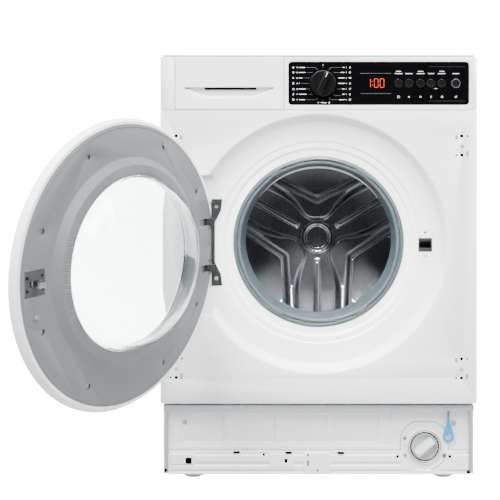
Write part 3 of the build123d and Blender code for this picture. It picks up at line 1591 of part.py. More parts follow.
def motor_rotor():
    """The motor's shaft with its small pulley."""
    shaft = bar_y(motor_shaft_radius, motor_x, motor_front + mount_depth + seam,
                  pulley_front + pulley_width, motor_z)
    return in_tub(shaft + bar_y(motor_pulley_radius, motor_x, pulley_front,
                                pulley_front + pulley_width, motor_z))


def belt_loop(clearance):
    """The outline of a belt round both pulleys, as a face in the tub's XZ plane."""
    large, small = pulley_radius + clearance, motor_pulley_radius + clearance
    reach = math.hypot(motor_x, motor_z)
    swing = math.asin((large - small) / reach)
    cos_t, sin_t = math.cos(swing), math.sin(swing)
    high = (large * sin_t, large * cos_t)
    far = (reach + small * sin_t, small * cos_t)
    upper = Line(high, far)
    nose = ThreePointArc(far, (reach + small, 0), (far[0], -far[1]))
    lower = Line((far[0], -far[1]), (high[0], -high[1]))
    back = ThreePointArc((high[0], -high[1]), (-large, 0), high)
    return make_face(upper + nose + lower + back)


def drive_belt():
    """The ribbed belt from the motor to the drum's pulley."""
    angle = math.degrees(math.atan2(motor_z, motor_x))
    y_low, y_high = pulley_front + over, pulley_front + pulley_width - over
    ring = belt_loop(free_gap + belt_thickness) - belt_loop(free_gap)
    solid = Pos(0, y_high, 0) * Rot(90, 0, 0) * extrude(ring, y_high - y_low)
    return in_tub(about_axis(angle, solid))


def front_weight():
    """The concrete ring segment on the tub's front."""
    ring = turned([(weight_inner, weight_front_y), (weight_outer, weight_front_y),
                   (weight_outer, tub_front_y), (weight_inner, tub_front_y)])
    size = 2 * weight_outer
    rise = size * math.tan(math.radians(90 - weight_half_angle))
    wedge = outline_xz([(0, 0), (size, rise), (-size, rise)], weight_front_y - over, over)
    return in_tub(ring & wedge)


def top_weight():
    """The concrete block on the tub's shoulder."""
    body = block(block_left, block_right, block_front_y, block_back_y, 0, block_top_z)
    rim = bar_y(tub_outer + tub_joint_rim + free_gap, 0, tub_joint_y - 3 * tub_wall,
                tub_joint_y + 3 * tub_wall, 0)
    return in_tub(body - bar_y(tub_outer + free_gap, 0, 0, tub_back_y, 0) - rim)


def suspension_springs():
    """The two suspension springs, each a tube over its hooks."""
    springs = []
    for side in (-1, 1):
        x = side * spring_x
        spring = bar_z(spring_radius, x, spring_y, spring_low, spring_high + 2 * hook_rod_radius)
        springs.append(spring - bar_z(spring_bore, x, spring_y, spring_low + 2 * hook_rod_radius,
                                      spring_high + 4 * hook_rod_radius))
    return springs


def damper_cylinders():
    """The cylinders of the two friction dampers, on the base tray."""
    cylinders = []
    for side in (-1, 1):
        x = side * damper_x
        body = bar_z(damper_radius, x, damper_y, damper_low, damper_high)
        cylinders.append(body - bar_z(damper_rod_radius + free_gap, x, damper_y,
                                      damper_low + damper_radius / 2, damper_high + over))
    return cylinders


def damper_rods():
    """The damper rods under the tub."""
    rods = []
    for side in (-1, 1):
        x = side * damper_x
        rod = bar_z(damper_rod_radius, x, damper_y, damper_rod_low, damper_lug_low)
        rods.append(rod)
    return rods


def door_gasket():
    """The rubber bellows from the front panel's neck to the tub's neck."""
    t = gasket_wall
    front = turned([(gasket_front_radius, gasket_front_depth), (gasket_face_radius, gasket_front_depth - t / 2),
                    (gasket_face_radius - t, gasket_front_depth + t),
                    (gasket_lip_radius + t / 2, gasket_lip_depth - 2 * t),
                    (gasket_lip_radius, gasket_lip_depth), (gasket_lip_radius + t, gasket_lip_depth + t),
                    (gasket_fold_radius, gasket_fold_depth + t), (gasket_fold_radius, gasket_fold_depth),
                    (gasket_lip_radius + 2 * t, gasket_lip_depth - 2 * t),
                    (gasket_face_radius + t / 2, gasket_front_depth + 2 * t),
                    (gasket_front_radius - seam, gasket_front_depth + t)], z=dish_z)
    skins = []
    for inset in (0, t):
        near = Pos(0, gasket_fold_depth + t / 2, dish_z) * Rot(90, 0, 0) * Circle(gasket_fold_radius - inset)
        far = in_tub(Pos(0, tub_neck_front + t, 0) * Rot(90, 0, 0)
                     * Circle(tub_neck_radius - free_gap - inset))
        skins.append(loft([near, far]))
    rear = in_tub(turned([(tub_neck_radius - free_gap, tub_neck_front + t),
                          (tub_neck_radius - free_gap, tub_front_y + tub_wall),
                          (tub_neck_radius - t, tub_front_y + tub_wall),
                          (tub_neck_radius - t - free_gap, tub_neck_front + t)]))
    return front + (skins[0] - skins[1]) + rear


def tube(points, outer, inner, bend=hose_bend):
    """A hose along straight runs joined by arcs."""
    path = FilletPolyline(*points, radius=bend) if len(points) > 2 else Line(*points)
    start = Vector(*points[1]) - Vector(*points[0])
    section = Plane(origin=points[0], z_dir=start)
    return sweep(section * (Circle(outer) - Circle(inner)), path=path)


def in_machine(x, y, z):
    """A point of the tub's own frame in the machine's frame."""
    turn = math.radians(drum_tilt)
    return (x, drum_front + y * math.cos(turn) + z * math.sin(turn),
            drum_z - y * math.sin(turn) + z * math.cos(turn))


def hoses():
    """The filling hose, the drain hose from the sump, the pump's hose and the supply hose."""
    outer, inner = spigot_radius + hose_wall, spigot_radius + running_gap
    outlet_x_mid = (drawer_left + drawer_right) / 2
    outlet_y = housing_back - spigot_radius * 2
    low = in_machine(filler_x, filler_y, filler_top)
    fill = tube([(outlet_x_mid, outlet_y, housing_bottom),
                 (outlet_x_mid, outlet_y, low[2] + over)], outer, inner)
    x, y, z = in_machine(sump_half_width + spigot_radius, drain_y, -tub_radius - spigot_radius)
    reach = filter_z + filter_bore + spigot_radius * 2
    drain = tube([(x, sump_spigot_y(), z), (filter_x, sump_spigot_y(), z),
                  (filter_x, sump_spigot_y(), reach)], outer, inner)
    pump_y = (filter_housing_end + pump_end) / 2
    pump_x = filter_x - pump_radius - spigot_radius / 2
    waste = tube([(pump_x, pump_y, filter_z), (waste_turn_x, pump_y, filter_z),
                  (waste_turn_x, waste_cross_y, filter_z), (waste_x, waste_cross_y, waste_z),
                  (waste_x, waste_y, waste_z),
                  (waste_x, waste_y, outlet_z), (outlet_x, waste_y, outlet_z),
                  (outlet_x, machine_depth - 2 * outlet_length, outlet_z)],
                 outer, inner, hose_bend / 2)
    supply = tube([(valve_x, machine_depth - 2 * sheet - valve_length, valve_z),
                   (valve_x, supply_y, valve_z), (valve_x, supply_y, supply_z),
                   (outlet_x_mid, supply_y, supply_z), (outlet_x_mid, housing_back, supply_z)],
                  supply_radius, supply_radius / 2, hose_bend / 2)
    return [fill, drain, waste, supply]


def inlet_valve():
    """The solenoid water inlet valve with its three-quarter-inch thread at the back."""
    face = machine_depth - 2 * sheet
    body = bar_y(valve_body_radius - free_gap, valve_x, face - valve_length / 3, face + sheet, valve_z)
    body += bar_y(valve_thread_radius, valve_x, face - over, face + sheet + valve_thread_length, valve_z)
    body += block(valve_x - valve_body_radius, valve_x + valve_body_radius, face - valve_length,
                  face - valve_length / 3, valve_z - valve_body_radius, valve_z + valve_body_radius)
    flange_y = face - sheet * 2
    body += bar_y(valve_body_radius + 2 * sheet, valve_x, flange_y, face, valve_z)
    return body - bar_y(valve_thread_radius / 2, valve_x, face - valve_length / 2,
                        face + sheet + valve_thread_length + over, valve_z)


def drain_outlet():
    """The spigot at the back that the drain hose leaves from."""
    face = machine_depth - sheet
    body = bar_y(outlet_radius - 3 * free_gap, outlet_x, face - 2 * outlet_length, machine_depth + sheet, outlet_z)
    body += bar_y(outlet_radius - free_gap, outlet_x, machine_depth + sheet, face + outlet_length, outlet_z)
    body += bar_y(outlet_radius + 2 * sheet, outlet_x, face - 3 * sheet, face - sheet, outlet_z)
    return body - bar_y(outlet_radius - 2 * sheet, outlet_x, face - 3 * outlet_length,
                        face + 2 * outlet_length, outlet_z)


def cable_gland():
    """The mains cable's gland in the back."""
    face = machine_depth - sheet
    body = bar_y(gland_radius, gland_x, face, face + gland_length / 3, gland_z)
    body += Pos(gland_x, face + gland_length * 2 / 3, gland_z) * Rot(-90, 0, 0) * Cone(
        gland_radius, gland_radius / 2, gland_length * 2 / 3)
    body += bar_y(gland_radius - screw_head_height, gland_x, face - gland_length / 2, face, gland_z)
    return body - bar_y(gland_bore, gland_x, face - gland_length, face + 2 * gland_length, gland_z)


def transit_caps():
    """The plastic caps in the four transit-bolt holes."""
    caps = []
    face = machine_depth - sheet
    for x in (-transit_x, transit_x):
        for z in (transit_low_z, transit_high_z):
            cap = bar_y(transit_cap_radius, x, face, face + 2 * sheet, z)
            cap += bar_y(transit_hole_radius, x, face - transit_cap_length, face, z)
            caps.append(cap - bar_y(transit_hole_radius - 2 * sheet, x,
                                    face - transit_cap_length - over, face - sheet, z))
    return caps


def screws():
    """The visible screws of the cabinet: hinge bracket, plinth plate, filter and back."""
    fixed = []
    for z in bracket_screws():
        fixed.append(screw_y(bracket_screw_x, dish_floor_depth - bracket_thickness
                             + bracket_screw_sink, z, screw_length, screw_head_radius * 0.75))
    for x, y, z in kick_screws():
        fixed.append(screw_y(x, y, z))
    for x, z in filter_screws():
        fixed.append(screw_y(x, kick_front - sheet, z, screw_length, screw_head_radius * 0.75))
    for x in (-rear_screw_x(), rear_screw_x()):
        for z in rear_screw_z():
            screw = Rot(0, 0, 180) * screw_y(-x, -(machine_depth - sheet), z, sheet, screw_head_radius)
            fixed.append(screw)
    return fixed


def main():
    os.makedirs("parts", exist_ok=True)
    export("side_panel_left", side_panel(-1))
    export("side_panel_right", side_panel(1))
    export("rear_panel", rear_panel(), rear_cover())
    export("top_cover", top_cover())
    export("cabinet_frame", top_frame(), lower_crossbar())
    export("base_tray", base_tray())
    for row, y in (("front", front_feet_y), ("rear", rear_feet_y)):
        for side, x in (("left", -feet_span_x / 2), ("right", feet_span_x / 2)):
            export("foot_" + row + "_" + side, foot(x, y))
    export("front_panel", front_panel())
    export("hinge_bracket", hinge_bracket())
    export("door_lock", door_lock())
    export("control_fascia", control_fascia())
    export("control_glass", control_glass())
    export("control_board", control_board())
    export("program_knob", program_knob())
    for number, (x, radius) in enumerate(zip(button_x, button_radii), 1):
        export("button_" + str(number), button(x, radius))
    export("drawer_front", drawer_front())
    export("drawer_tray", *drawer_tray(), siphon_cap())
    export("dispenser_housing", *dispenser_housing())
    export("kick_plate", kick_plate())
    export("drain_pump", *filter_housing(), pump_motor())
    export("filter_cap", filter_cap())
    export("filter_strainer", *filter_strainer())
    export("pump_impeller", pump_impeller())
    export("emergency_pull", emergency_pull())
    export("door_shell", rim_relief(door_open(door_shell())))
    export("door_inner_ring", door_open(door_inner_ring()))
    export("door_bowl", door_open(door_bowl()))
    export("door_window", door_open(door_window()))
    export("door_hinge", door_open(door_hinge()))
    export("door_screws", *[door_open(screw) for screw in door_screws()])
    export("latch_block", door_open(latch_block()), door_open(latch_pin()))
    export("door_hook", door_open(door_hook()))
    export("drum_shell", drum_shell(), drum_mouth())
    export("drum_back", drum_back())
    export("drum_lifters", *drum_lifters())
    export("drum_spider", drum_spider() + drum_shaft())
    export("drum_pulley", drum_pulley())
    export("tub_front", tub_front())
    export("tub_back", tub_back())
    export("drum_bearings", *drum_bearings())
    export("heater", heater())
    export("motor_housing", motor_housing())
    export("motor_rotor", motor_rotor())
    export("drive_belt", drive_belt())
    export("counterweights", front_weight(), top_weight())
    export("suspension_springs", *suspension_springs())
    export("damper_cylinders", *damper_cylinders())
    export("damper_rods", *damper_rods())
    export("door_gasket", door_gasket())
    export("rear_fittings", inlet_valve(), drain_outlet(), cable_gland(), *transit_caps())
    export("hoses", *hoses())
    export("cabinet_screws", *screws())


main()
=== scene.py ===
# %% [markdown]
# A built-in washing machine, dressed for its picture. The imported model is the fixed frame: its pieces
# have their real places and sizes, and each one moves with its body. This lesson gives them their
# looks. It keeps what is already right, makes new surfaces where softer or finer shapes are needed,
# and gives every surface a finish worked out from what it is made of.

# %% Load the frame
import json
import math

import bmesh
import bpy
import numpy as np
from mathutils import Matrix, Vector


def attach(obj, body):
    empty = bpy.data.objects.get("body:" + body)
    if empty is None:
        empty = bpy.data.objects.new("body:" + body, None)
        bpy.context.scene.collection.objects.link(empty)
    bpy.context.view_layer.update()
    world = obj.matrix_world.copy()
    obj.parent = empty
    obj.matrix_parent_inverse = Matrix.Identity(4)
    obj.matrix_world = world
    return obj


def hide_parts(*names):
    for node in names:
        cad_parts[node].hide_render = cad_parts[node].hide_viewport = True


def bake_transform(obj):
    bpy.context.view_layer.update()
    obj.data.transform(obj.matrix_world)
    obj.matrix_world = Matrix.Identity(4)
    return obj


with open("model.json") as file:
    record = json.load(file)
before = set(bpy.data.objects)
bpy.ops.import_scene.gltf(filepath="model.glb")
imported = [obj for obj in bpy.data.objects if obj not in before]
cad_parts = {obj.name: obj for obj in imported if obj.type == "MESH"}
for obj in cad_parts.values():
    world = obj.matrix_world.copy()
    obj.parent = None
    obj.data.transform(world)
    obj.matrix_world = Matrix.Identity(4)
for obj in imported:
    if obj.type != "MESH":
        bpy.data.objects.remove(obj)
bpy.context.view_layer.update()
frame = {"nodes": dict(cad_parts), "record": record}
nodes = frame["nodes"]
body_of_node = {n: b for b, names in frame["record"]["behaviour"]["bodies"].items() for n in names}
slot_of_node = {s["node"]: s["material_slot"] for s in frame["record"]["subparts"]}

# %% [markdown]
# The machine was drawn in millimetres from its front plane: x to the right, depth into the machine,
# height up from the floor. Blender's metres start at the centre of the four feet, so one function
# turns the first into the second. Two more carry points into the tub, which leans back a little so
# that the laundry falls inwards, and onto the door, which stands open on its hinge.

# %% Places
FEET_CENTRE = 280.0
TUB_FRONT, TUB_Z, TUB_TILT = 75.0, 455.3, math.radians(5.5)
DOOR_Z, HINGE_X, HINGE_Y, DOOR_ANGLE = 460.3, -210.5, 14.5, math.radians(-116.9)
DISH_Z = 464.3
CONTROLS_Z = 765.7


def to_frame(points):
    """Millimetres (x, depth, height) to metres from the centre of the feet."""
    return (np.asarray(points, float) - (0.0, FEET_CENTRE, 0.0)) / 1000.0


def in_tub(points):
    """Points about the drum's own axis, leaned back by the tilt and moved to the tub's place."""
    x, y, z = np.moveaxis(np.asarray(points, float), -1, 0)
    c, s = math.cos(TUB_TILT), math.sin(TUB_TILT)
    return np.stack([x, TUB_FRONT + y * c + z * s, TUB_Z - y * s + z * c], -1)


def on_door(points):
    """Points of the closed door turned about the hinge to where it stands open."""
    x, y, z = np.moveaxis(np.asarray(points, float), -1, 0)
    c, s = math.cos(DOOR_ANGLE), math.sin(DOOR_ANGLE)
    dx, dy = x - HINGE_X, y - HINGE_Y
    return np.stack([HINGE_X + c * dx - s * dy, HINGE_Y + s * dx + c * dy, z], -1)


print("drum axis at the front", to_frame(in_tub([0, 0, 0])).round(3))

# %% [markdown]
# A colour is written as it looks on a screen, as a hex value, and turned to the linear numbers that
# the shader adds up. A material is a small tree of nodes, and one function adds a node with its
# settings and its links, so that the trees below read as recipes.

# %% Colours and nodes


def tone(code, alpha=1.0):
    """An sRGB hex colour as linear red, green, blue and alpha."""
    parts = np.array([int(code[i:i + 2], 16) for i in (1, 3, 5)]) / 255.0
    linear = np.where(parts <= 0.04045, parts / 12.92, ((parts + 0.055) / 1.055) ** 2.4)
    return (*linear.tolist(), alpha)


def new_finish(name):
    """An empty material and its node tree."""
    finish = bpy.data.materials.new(name)
    finish.use_nodes = True
    finish.node_tree.nodes.clear()
    return finish, finish.node_tree


def add(tree, kind, settings=None, links=None):
    """One node: its kind, its properties or input values by name, and the sockets that feed it."""
    node = tree.nodes.new("ShaderNode" + kind)
    for key, value in (settings or {}).items():
        if isinstance(key, str) and hasattr(node, key):
            setattr(node, key, value)
        else:
            node.inputs[key].default_value = value
    for key, source in (links or {}).items():
        tree.links.new(source, node.inputs[key])
    return node


def close_tree(tree, shader):
    """Ends a tree in its output."""
    add(tree, "OutputMaterial", {}, {"Surface": shader.outputs[0]})


print("white enamel is", [round(v, 3) for v in tone("#f4f5f6")])

# %% [markdown]
# Most of the machine is one family: a smooth skin with a faint grain, a slight drift of colour over
# the surface and a gloss that is a little uneven. Enamel baked on steel has the soft ripple called
# orange peel, moulded ABS has a finer spark-eroded grain, rubber a dull bloom. One recipe gives them
# all, with the grain's real size in millimetres, its depth, two near colours and the range of gloss.
# A grain finer than a pixel is drawn a little coarser, or it would only be noise in the picture.

# %% The family of smooth skins


def skin(name, colours, gloss, grain, depth, patch=60.0, metal=0.0, coat=0.0, brushed=None, specular=0.5,
         sheen=0.0):
    """A finish: colours drift between two hex values over patch mm, roughness runs between the two
    gloss values, and a grain of that many mm stands depth mm high. brushed stretches the grain along
    x, y and z, as the strokes of a belt do."""
    finish, tree = new_finish(name)
    place = add(tree, "TexCoord")
    source = place.outputs["Object"]
    if brushed:
        source = add(tree, "Mapping", {"Scale": brushed}, {"Vector": source}).outputs["Vector"]
    fine = add(tree, "TexNoise", {"Scale": 1000.0 / grain, "Detail": 3.0, "Roughness": 0.55},
               {"Vector": source})
    broad = add(tree, "TexNoise", {"Scale": 1000.0 / patch, "Detail": 2.0},
                {"Vector": place.outputs["Object"]})
    drift = add(tree, "Mix", {"data_type": "RGBA", 6: tone(colours[0]), 7: tone(colours[1])},
                {0: broad.outputs["Fac"]})
    blend = add(tree, "Math", {"operation": "MULTIPLY_ADD", 1: 0.6, 2: 0.0}, {0: fine.outputs["Fac"]})
    mixed = add(tree, "Math", {"operation": "MULTIPLY_ADD", 1: 0.4}, {0: broad.outputs["Fac"],
                                                                    2: blend.outputs[0]})
    rough = add(tree, "MapRange", {"From Min": 0.3, "From Max": 0.7, "To Min": gloss[0], "To Max": gloss[1]},
                {"Value": mixed.outputs[0]})
    bump = add(tree, "Bump", {"Strength": 0.7, "Distance": depth / 1000.0}, {"Height": fine.outputs["Fac"]})
    shader = add(tree, "BsdfPrincipled",
                 {"Metallic": metal, "Coat Weight": coat, "Coat Roughness": 0.08,
                  "Specular IOR Level": specular, "Sheen Weight": sheen},
                 {"Base Color": drift.outputs[2], "Roughness": rough.outputs["Result"],
                  "Normal": bump.outputs["Normal"]})
    close_tree(tree, shader)
    return finish


# Enamel on deep-drawn steel: hard, white, glossy, with a barely seen orange peel of about 3 mm.
enamel = skin("white_baked_enamel", ("#f3f4f5", "#eff0f2"), (0.24, 0.34), 3.0, 0.012, coat=0.15)
# ABS for the fascia and drawer: the same white, but satin from a fine eroded mould.
abs_white = skin("white_moulded_abs", ("#f1f2f3", "#edeeef"), (0.34, 0.44), 0.9, 0.012)
# Zinc-coated sheet for the back, frame and hidden steel, with its broad pale spangle.
zinc = skin("galvanised_sheet", ("#bfc3c6", "#a9adb1"), (0.34, 0.52), 9.0, 0.01, patch=14.0, metal=0.7)
# Glass-filled polypropylene of the tub: pale, dull and slightly mottled.
tub_pp = skin("filled_polypropylene", ("#b9bdbd", "#a8adad"), (0.5, 0.62), 1.2, 0.03, patch=25.0)
# Polished black acrylic of the control panel, lacquered, so it mirrors the lamps sharply.
acrylic = skin("black_gloss_acrylic", ("#050506", "#070708"), (0.08, 0.12), 4.0, 0.0005, specular=0.14)
# Satin black ABS of the dial and buttons, with a fine mould grain.
abs_black = skin("black_satin_abs", ("#040405", "#070708"), (0.3, 0.4), 0.8, 0.004, specular=0.2)
# Painted shade: a matt black that takes no glint from the lamps, laid where a hole, slot or recess shows only
# the shade behind it.
painted_shade_black = skin("painted_shade_black", ("#020202", "#040404"), (0.85, 0.95), 4.0, 0.01, specular=0.02)
# Matt black nylon of the lock and small mouldings.
nylon_black = skin("black_nylon", ("#0b0c0c", "#151616"), (0.45, 0.6), 0.9, 0.03)
# Dark coated die casting of the hinge: grey, a little metallic, with the grain of its powder coat.
casting = skin("coated_die_casting", ("#1d1f21", "#17181a"), (0.36, 0.48), 0.9, 0.03, metal=0.3)
# Bright zinc on screws and small steel.
zinc_bright = skin("zinc_plated_steel", ("#b4b7ba", "#9da1a5"), (0.22, 0.36), 0.8, 0.01, metal=1.0)
# Mid grey polypropylene of the door's inner ring.
ring_grey = skin("grey_door_polypropylene", ("#696c6f", "#64676a"), (0.42, 0.52), 0.8, 0.02)
# Mid grey polypropylene of pump and fittings.
grey_pp = skin("grey_polypropylene", ("#8d9193", "#818587"), (0.45, 0.58), 0.9, 0.03)
# Dark grey nylon of the latch block and lifters.
nylon_grey = skin("dark_grey_nylon", ("#3b3d3f", "#313335"), (0.42, 0.55), 0.9, 0.03)
# Soft pale polypropylene of the drawer's tray.
tray_pp = skin("pale_tray_polypropylene", ("#cfd4d8", "#c5cace"), (0.36, 0.48), 1.0, 0.02)
# The light blue polyethylene of the release pull.
pull_pe = skin("light_blue_polyethylene", ("#2f8fc4", "#2885b8"), (0.32, 0.44), 0.9, 0.02)
# Blue-grey EPDM rubber of the door gasket, with a dull bloom.
gasket_epdm = skin("blue_grey_epdm", ("#3f4a4d", "#394447"), (0.32, 0.44), 1.1, 0.02, patch=30.0)
# Black EPDM of hoses and belt.
hose_epdm = skin("black_epdm", ("#17181a", "#1f2123"), (0.5, 0.66), 1.1, 0.04)
# Laminate of the circuit board.
laminate = skin("green_laminate", ("#0e4a2c", "#125634"), (0.3, 0.42), 1.5, 0.01)
# Cast aluminium of spider and motor: sand-cast grain, dull metal.
cast_alu = skin("cast_aluminium", ("#a4a7aa", "#8f9396"), (0.42, 0.58), 1.6, 0.06, metal=0.9)
# Concrete of the counterweights: coarse, matt and mottled.
concrete = skin("cast_concrete", ("#8d8a84", "#7b7872"), (0.82, 0.95), 4.0, 0.4, patch=18.0)
# Stainless sheet of the drum, brushed by a belt round its axis before it was drawn.
stainless = skin("brushed_stainless", ("#a9acaf", "#a1a4a7"), (0.19, 0.22), 1.6, 0.00005, patch=120.0,
                 metal=1.0, brushed=(0.3, 1.0, 0.3))
# The drum's wall is the same sheet, rougher because its thousands of small holes and dimples scatter the
# light, and painted paler so that it throws more light into the drum.
drum_wall = skin("punched_stainless_painted_pale", ("#c3c6c9", "#b6b9bc"), (0.36, 0.46), 6.0, 0.12, metal=1.0)
print(len(bpy.data.materials), "finishes so far")

# %% [markdown]
# The door has two clear pieces. The bowl is pressed soda-lime glass, a touch green, smooth but with
# the slight waviness of pressing. The outer disc is clear plastic. Both are dielectric: the picture
# sees through them, bent by their walls, and the lamps show as bright shapes on their skins.

# %% Clear finishes


def clear(name, colour, ior, wave, height):
    """A see-through finish with a faint waviness of that many mm."""
    finish, tree = new_finish(name)
    place = add(tree, "TexCoord")
    ripple = add(tree, "TexNoise", {"Scale": 1000.0 / wave, "Detail": 1.0},
                 {"Vector": place.outputs["Object"]})
    bump = add(tree, "Bump", {"Strength": 0.5, "Distance": height / 1000.0},
               {"Height": ripple.outputs["Fac"]})
    rough = add(tree, "MapRange", {"To Min": 0.0, "To Max": 0.02}, {"Value": ripple.outputs["Fac"]})
    shader = add(tree, "BsdfPrincipled",
                 {"Base Color": tone(colour), "Transmission Weight": 1.0, "IOR": ior},
                 {"Normal": bump.outputs["Normal"], "Roughness": rough.outputs["Result"]})
    close_tree(tree, shader)
    return finish


pressed_glass = clear("pressed_soda_lime_glass", "#f6fbf9", 1.5, 45.0, 0.15)
clear_pc = clear("clear_polycarbonate", "#e9ecef", 1.45, 60.0, 0.05)
print("clear finishes made")

FINISH_OF_SLOT = {
    "white_enamel": enamel, "white_plastic": abs_white, "galvanised_sheet": zinc,
    "black_plastic": nylon_black, "dark_cast_metal": casting, "black_gloss": acrylic,
    "circuit_board": laminate, "silver_plastic": abs_black,
    "blue_tray_plastic": tray_pp, "grey_plastic": grey_pp, "pale_blue_plastic": pull_pe,
    "grey_door_plastic": ring_grey, "bowl_glass": pressed_glass, "window_plastic": clear_pc,
    "steel": zinc_bright, "stainless": stainless, "dark_grey_plastic": nylon_grey, "cast_aluminium": cast_alu,
    "tub_plastic": tub_pp, "black_rubber": hose_epdm, "grey_rubber": gasket_epdm, "concrete": concrete,
}

# %% [markdown]
# Each piece that comes with the frame keeps its shape and gets the finish of its slot. Its mesh is
# never touched. Only the material in its object's slot changes.

# %% Give the frame's pieces their finishes


def give(node, finish):
    """Puts a finish in every material slot of one of the frame's pieces."""
    target = nodes[node]
    if not target.material_slots:
        target.data.materials.append(finish)
    for place in target.material_slots:
        place.link = "OBJECT"
        place.material = finish


for node_name in nodes:
    give(node_name, FINISH_OF_SLOT[slot_of_node[node_name]])
give("drum_shell", drum_wall)
print(len(nodes), "pieces finished")

# %% [markdown]
# New shapes are grids of points. A grid's faces follow from its two counts, so one function gives
# the quads, and another makes the mesh, merges the points where a grid closes on itself, turns the
# faces outwards and keeps edges sharper than an angle crisp. The piece is then tied to the body
# that it moves with, and takes the place of the frame's plainer one.

# %% Grids and pieces


def quads(rows, columns, close_rows=False, close_columns=False):
    """The four corners of each cell of a grid, going round where a side closes."""
    r = np.arange(rows if close_rows else rows - 1)[:, None]
    c = np.arange(columns if close_columns else columns - 1)[None, :]
    r2, c2 = (r + 1) % rows, (c + 1) % columns
    return np.stack(np.broadcast_arrays(r * columns + c, r * columns + c2, r2 * columns + c2,
                                        r2 * columns + c), -1).reshape(-1, 4)


def joined(*parts):
    """Several sets of points and faces as one set."""
    points, faces, start = [], [], 0
    for part_points, part_faces in parts:
        part_points = np.asarray(part_points, float).reshape(-1, 3)
        points.append(part_points)
        faces += [[int(i) + start for i in face] for face in part_faces]
        start += len(part_points)
    return np.vstack(points), faces


def fill_mesh(mesh, points, faces, angle, flip=True):
    """Points and faces into a mesh: merged, turned outwards, smooth but for sharp edges."""
    mesh.from_pydata(np.asarray(points).reshape(-1, 3).tolist(), [], [list(map(int, f)) for f in faces])
    work = bmesh.new()
    work.from_mesh(mesh)
    bmesh.ops.remove_doubles(work, verts=work.verts, dist=2e-6)
    bmesh.ops.dissolve_degenerate(work, edges=work.edges, dist=1e-7)
    if flip:
        bmesh.ops.recalc_face_normals(work, faces=work.faces)
    work.to_mesh(mesh)
    work.free()
    mesh.shade_smooth()
    mesh.set_sharp_from_angle(angle=math.radians(angle))


def piece(name, points, faces, finish, body, slot=None, stands_for=(), angle=32, flip=True, between=None):
    """A new piece from millimetres in the machine's frame, tied to a body, or with between left where it is
    drawn.
    """
    mesh = bpy.data.meshes.new(name)
    fill_mesh(mesh, to_frame(np.asarray(points).reshape(-1, 3)), faces, angle, flip)
    return settle(name, mesh, finish, body, stands_for, between)


def settle(name, mesh, finish, body, stands_for=(), between=None):
    """Puts a finished mesh in the scene with its finish, ties it to its body and hides the nodes it stands
    for. With between, its points stay where they were drawn and it is tied to no body."""
    made = bpy.data.objects.new(name, mesh)
    bpy.context.scene.collection.objects.link(made)
    mesh.materials.clear()
    mesh.materials.append(finish)
    if between:
        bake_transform(made)
    else:
        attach(made, body)
    if stands_for:
        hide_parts(*stands_for)
    print(name, len(mesh.polygons), "faces")
    return made


# %% [markdown]
# A sheet-metal edge or a moulding never ends in a knife edge, and it is the thin line of light along
# such an edge that makes it look real. So the frame's rigid pieces are copied, their loose triangles
# merged into whole faces, and every edge is rounded by a few tenths of a millimetre.

# %% Round the edges of the frame's pieces


def softened(node, width, finish=None, angle=30, segments=2, without=None):
    """A copy of a frame's piece with merged points, whole flat faces and rounded edges, and without
    the faces whose centre, in millimetres, lies in a region that a finer piece fills."""
    mesh = nodes[node].data.copy()
    mesh.name = node + "_rounded"
    work = bmesh.new()
    work.from_mesh(mesh)
    if without:
        gone = [face for face in work.faces
                if without(*(np.array(face.calc_center_median()) * 1000.0 + (0.0, FEET_CENTRE, 0.0)))]
        bmesh.ops.delete(work, geom=gone, context="FACES")
    bmesh.ops.remove_doubles(work, verts=work.verts, dist=5e-6)
    bmesh.ops.dissolve_limit(work, angle_limit=math.radians(0.6), verts=work.verts, edges=work.edges)
    work.to_mesh(mesh)
    work.free()
    mesh.shade_smooth()
    helper = bpy.data.objects.new(node + "_helper", mesh)
    bpy.context.scene.collection.objects.link(helper)
    rounding = helper.modifiers.new("edge", "BEVEL")
    rounding.width = width / 1000.0
    rounding.segments = segments
    rounding.limit_method = "ANGLE"
    rounding.angle_limit = math.radians(angle)
    rounding.use_clamp_overlap = True
    # Hardened normals draw streaks across the ring from its screw holes, so it goes without.
    rounding.harden_normals = node != "door_inner_ring"
    solid = bpy.data.meshes.new_from_object(helper.evaluated_get(bpy.context.evaluated_depsgraph_get()))
    bpy.data.objects.remove(helper)
    return settle(node + "_rounded", solid, finish or FINISH_OF_SLOT[slot_of_node[node]], body_of_node[node],
                  (node,))


for node_name, width in {
    "front_panel": 0.5, "side_panel_left": 0.8, "side_panel_right": 0.8, "top_cover": 1.2,
    "control_fascia": 0.8, "hinge_bracket": 0.5, "cabinet_frame": 0.5,
    "door_lock": 0.4, "door_shell": 0.6, "door_inner_ring": 0.4,
}.items():
    softened(node_name, width)
softened("base_tray", 0.4, enamel, without=lambda x, y, z: y < 23.4 and 20.5 < z < 63.5 and abs(x) < 286.0)
softened("kick_plate", 0.5, enamel, without=lambda x, y, z: y > 30.4 and abs(x) < 286.4)

# %% [markdown]
# An outline drawn with straight sides is only a sketch. Real mouldings and pressings have a radius at
# every corner, so each corner is swapped for a short parabola between two points cut back from it.

# %% Rounded outlines


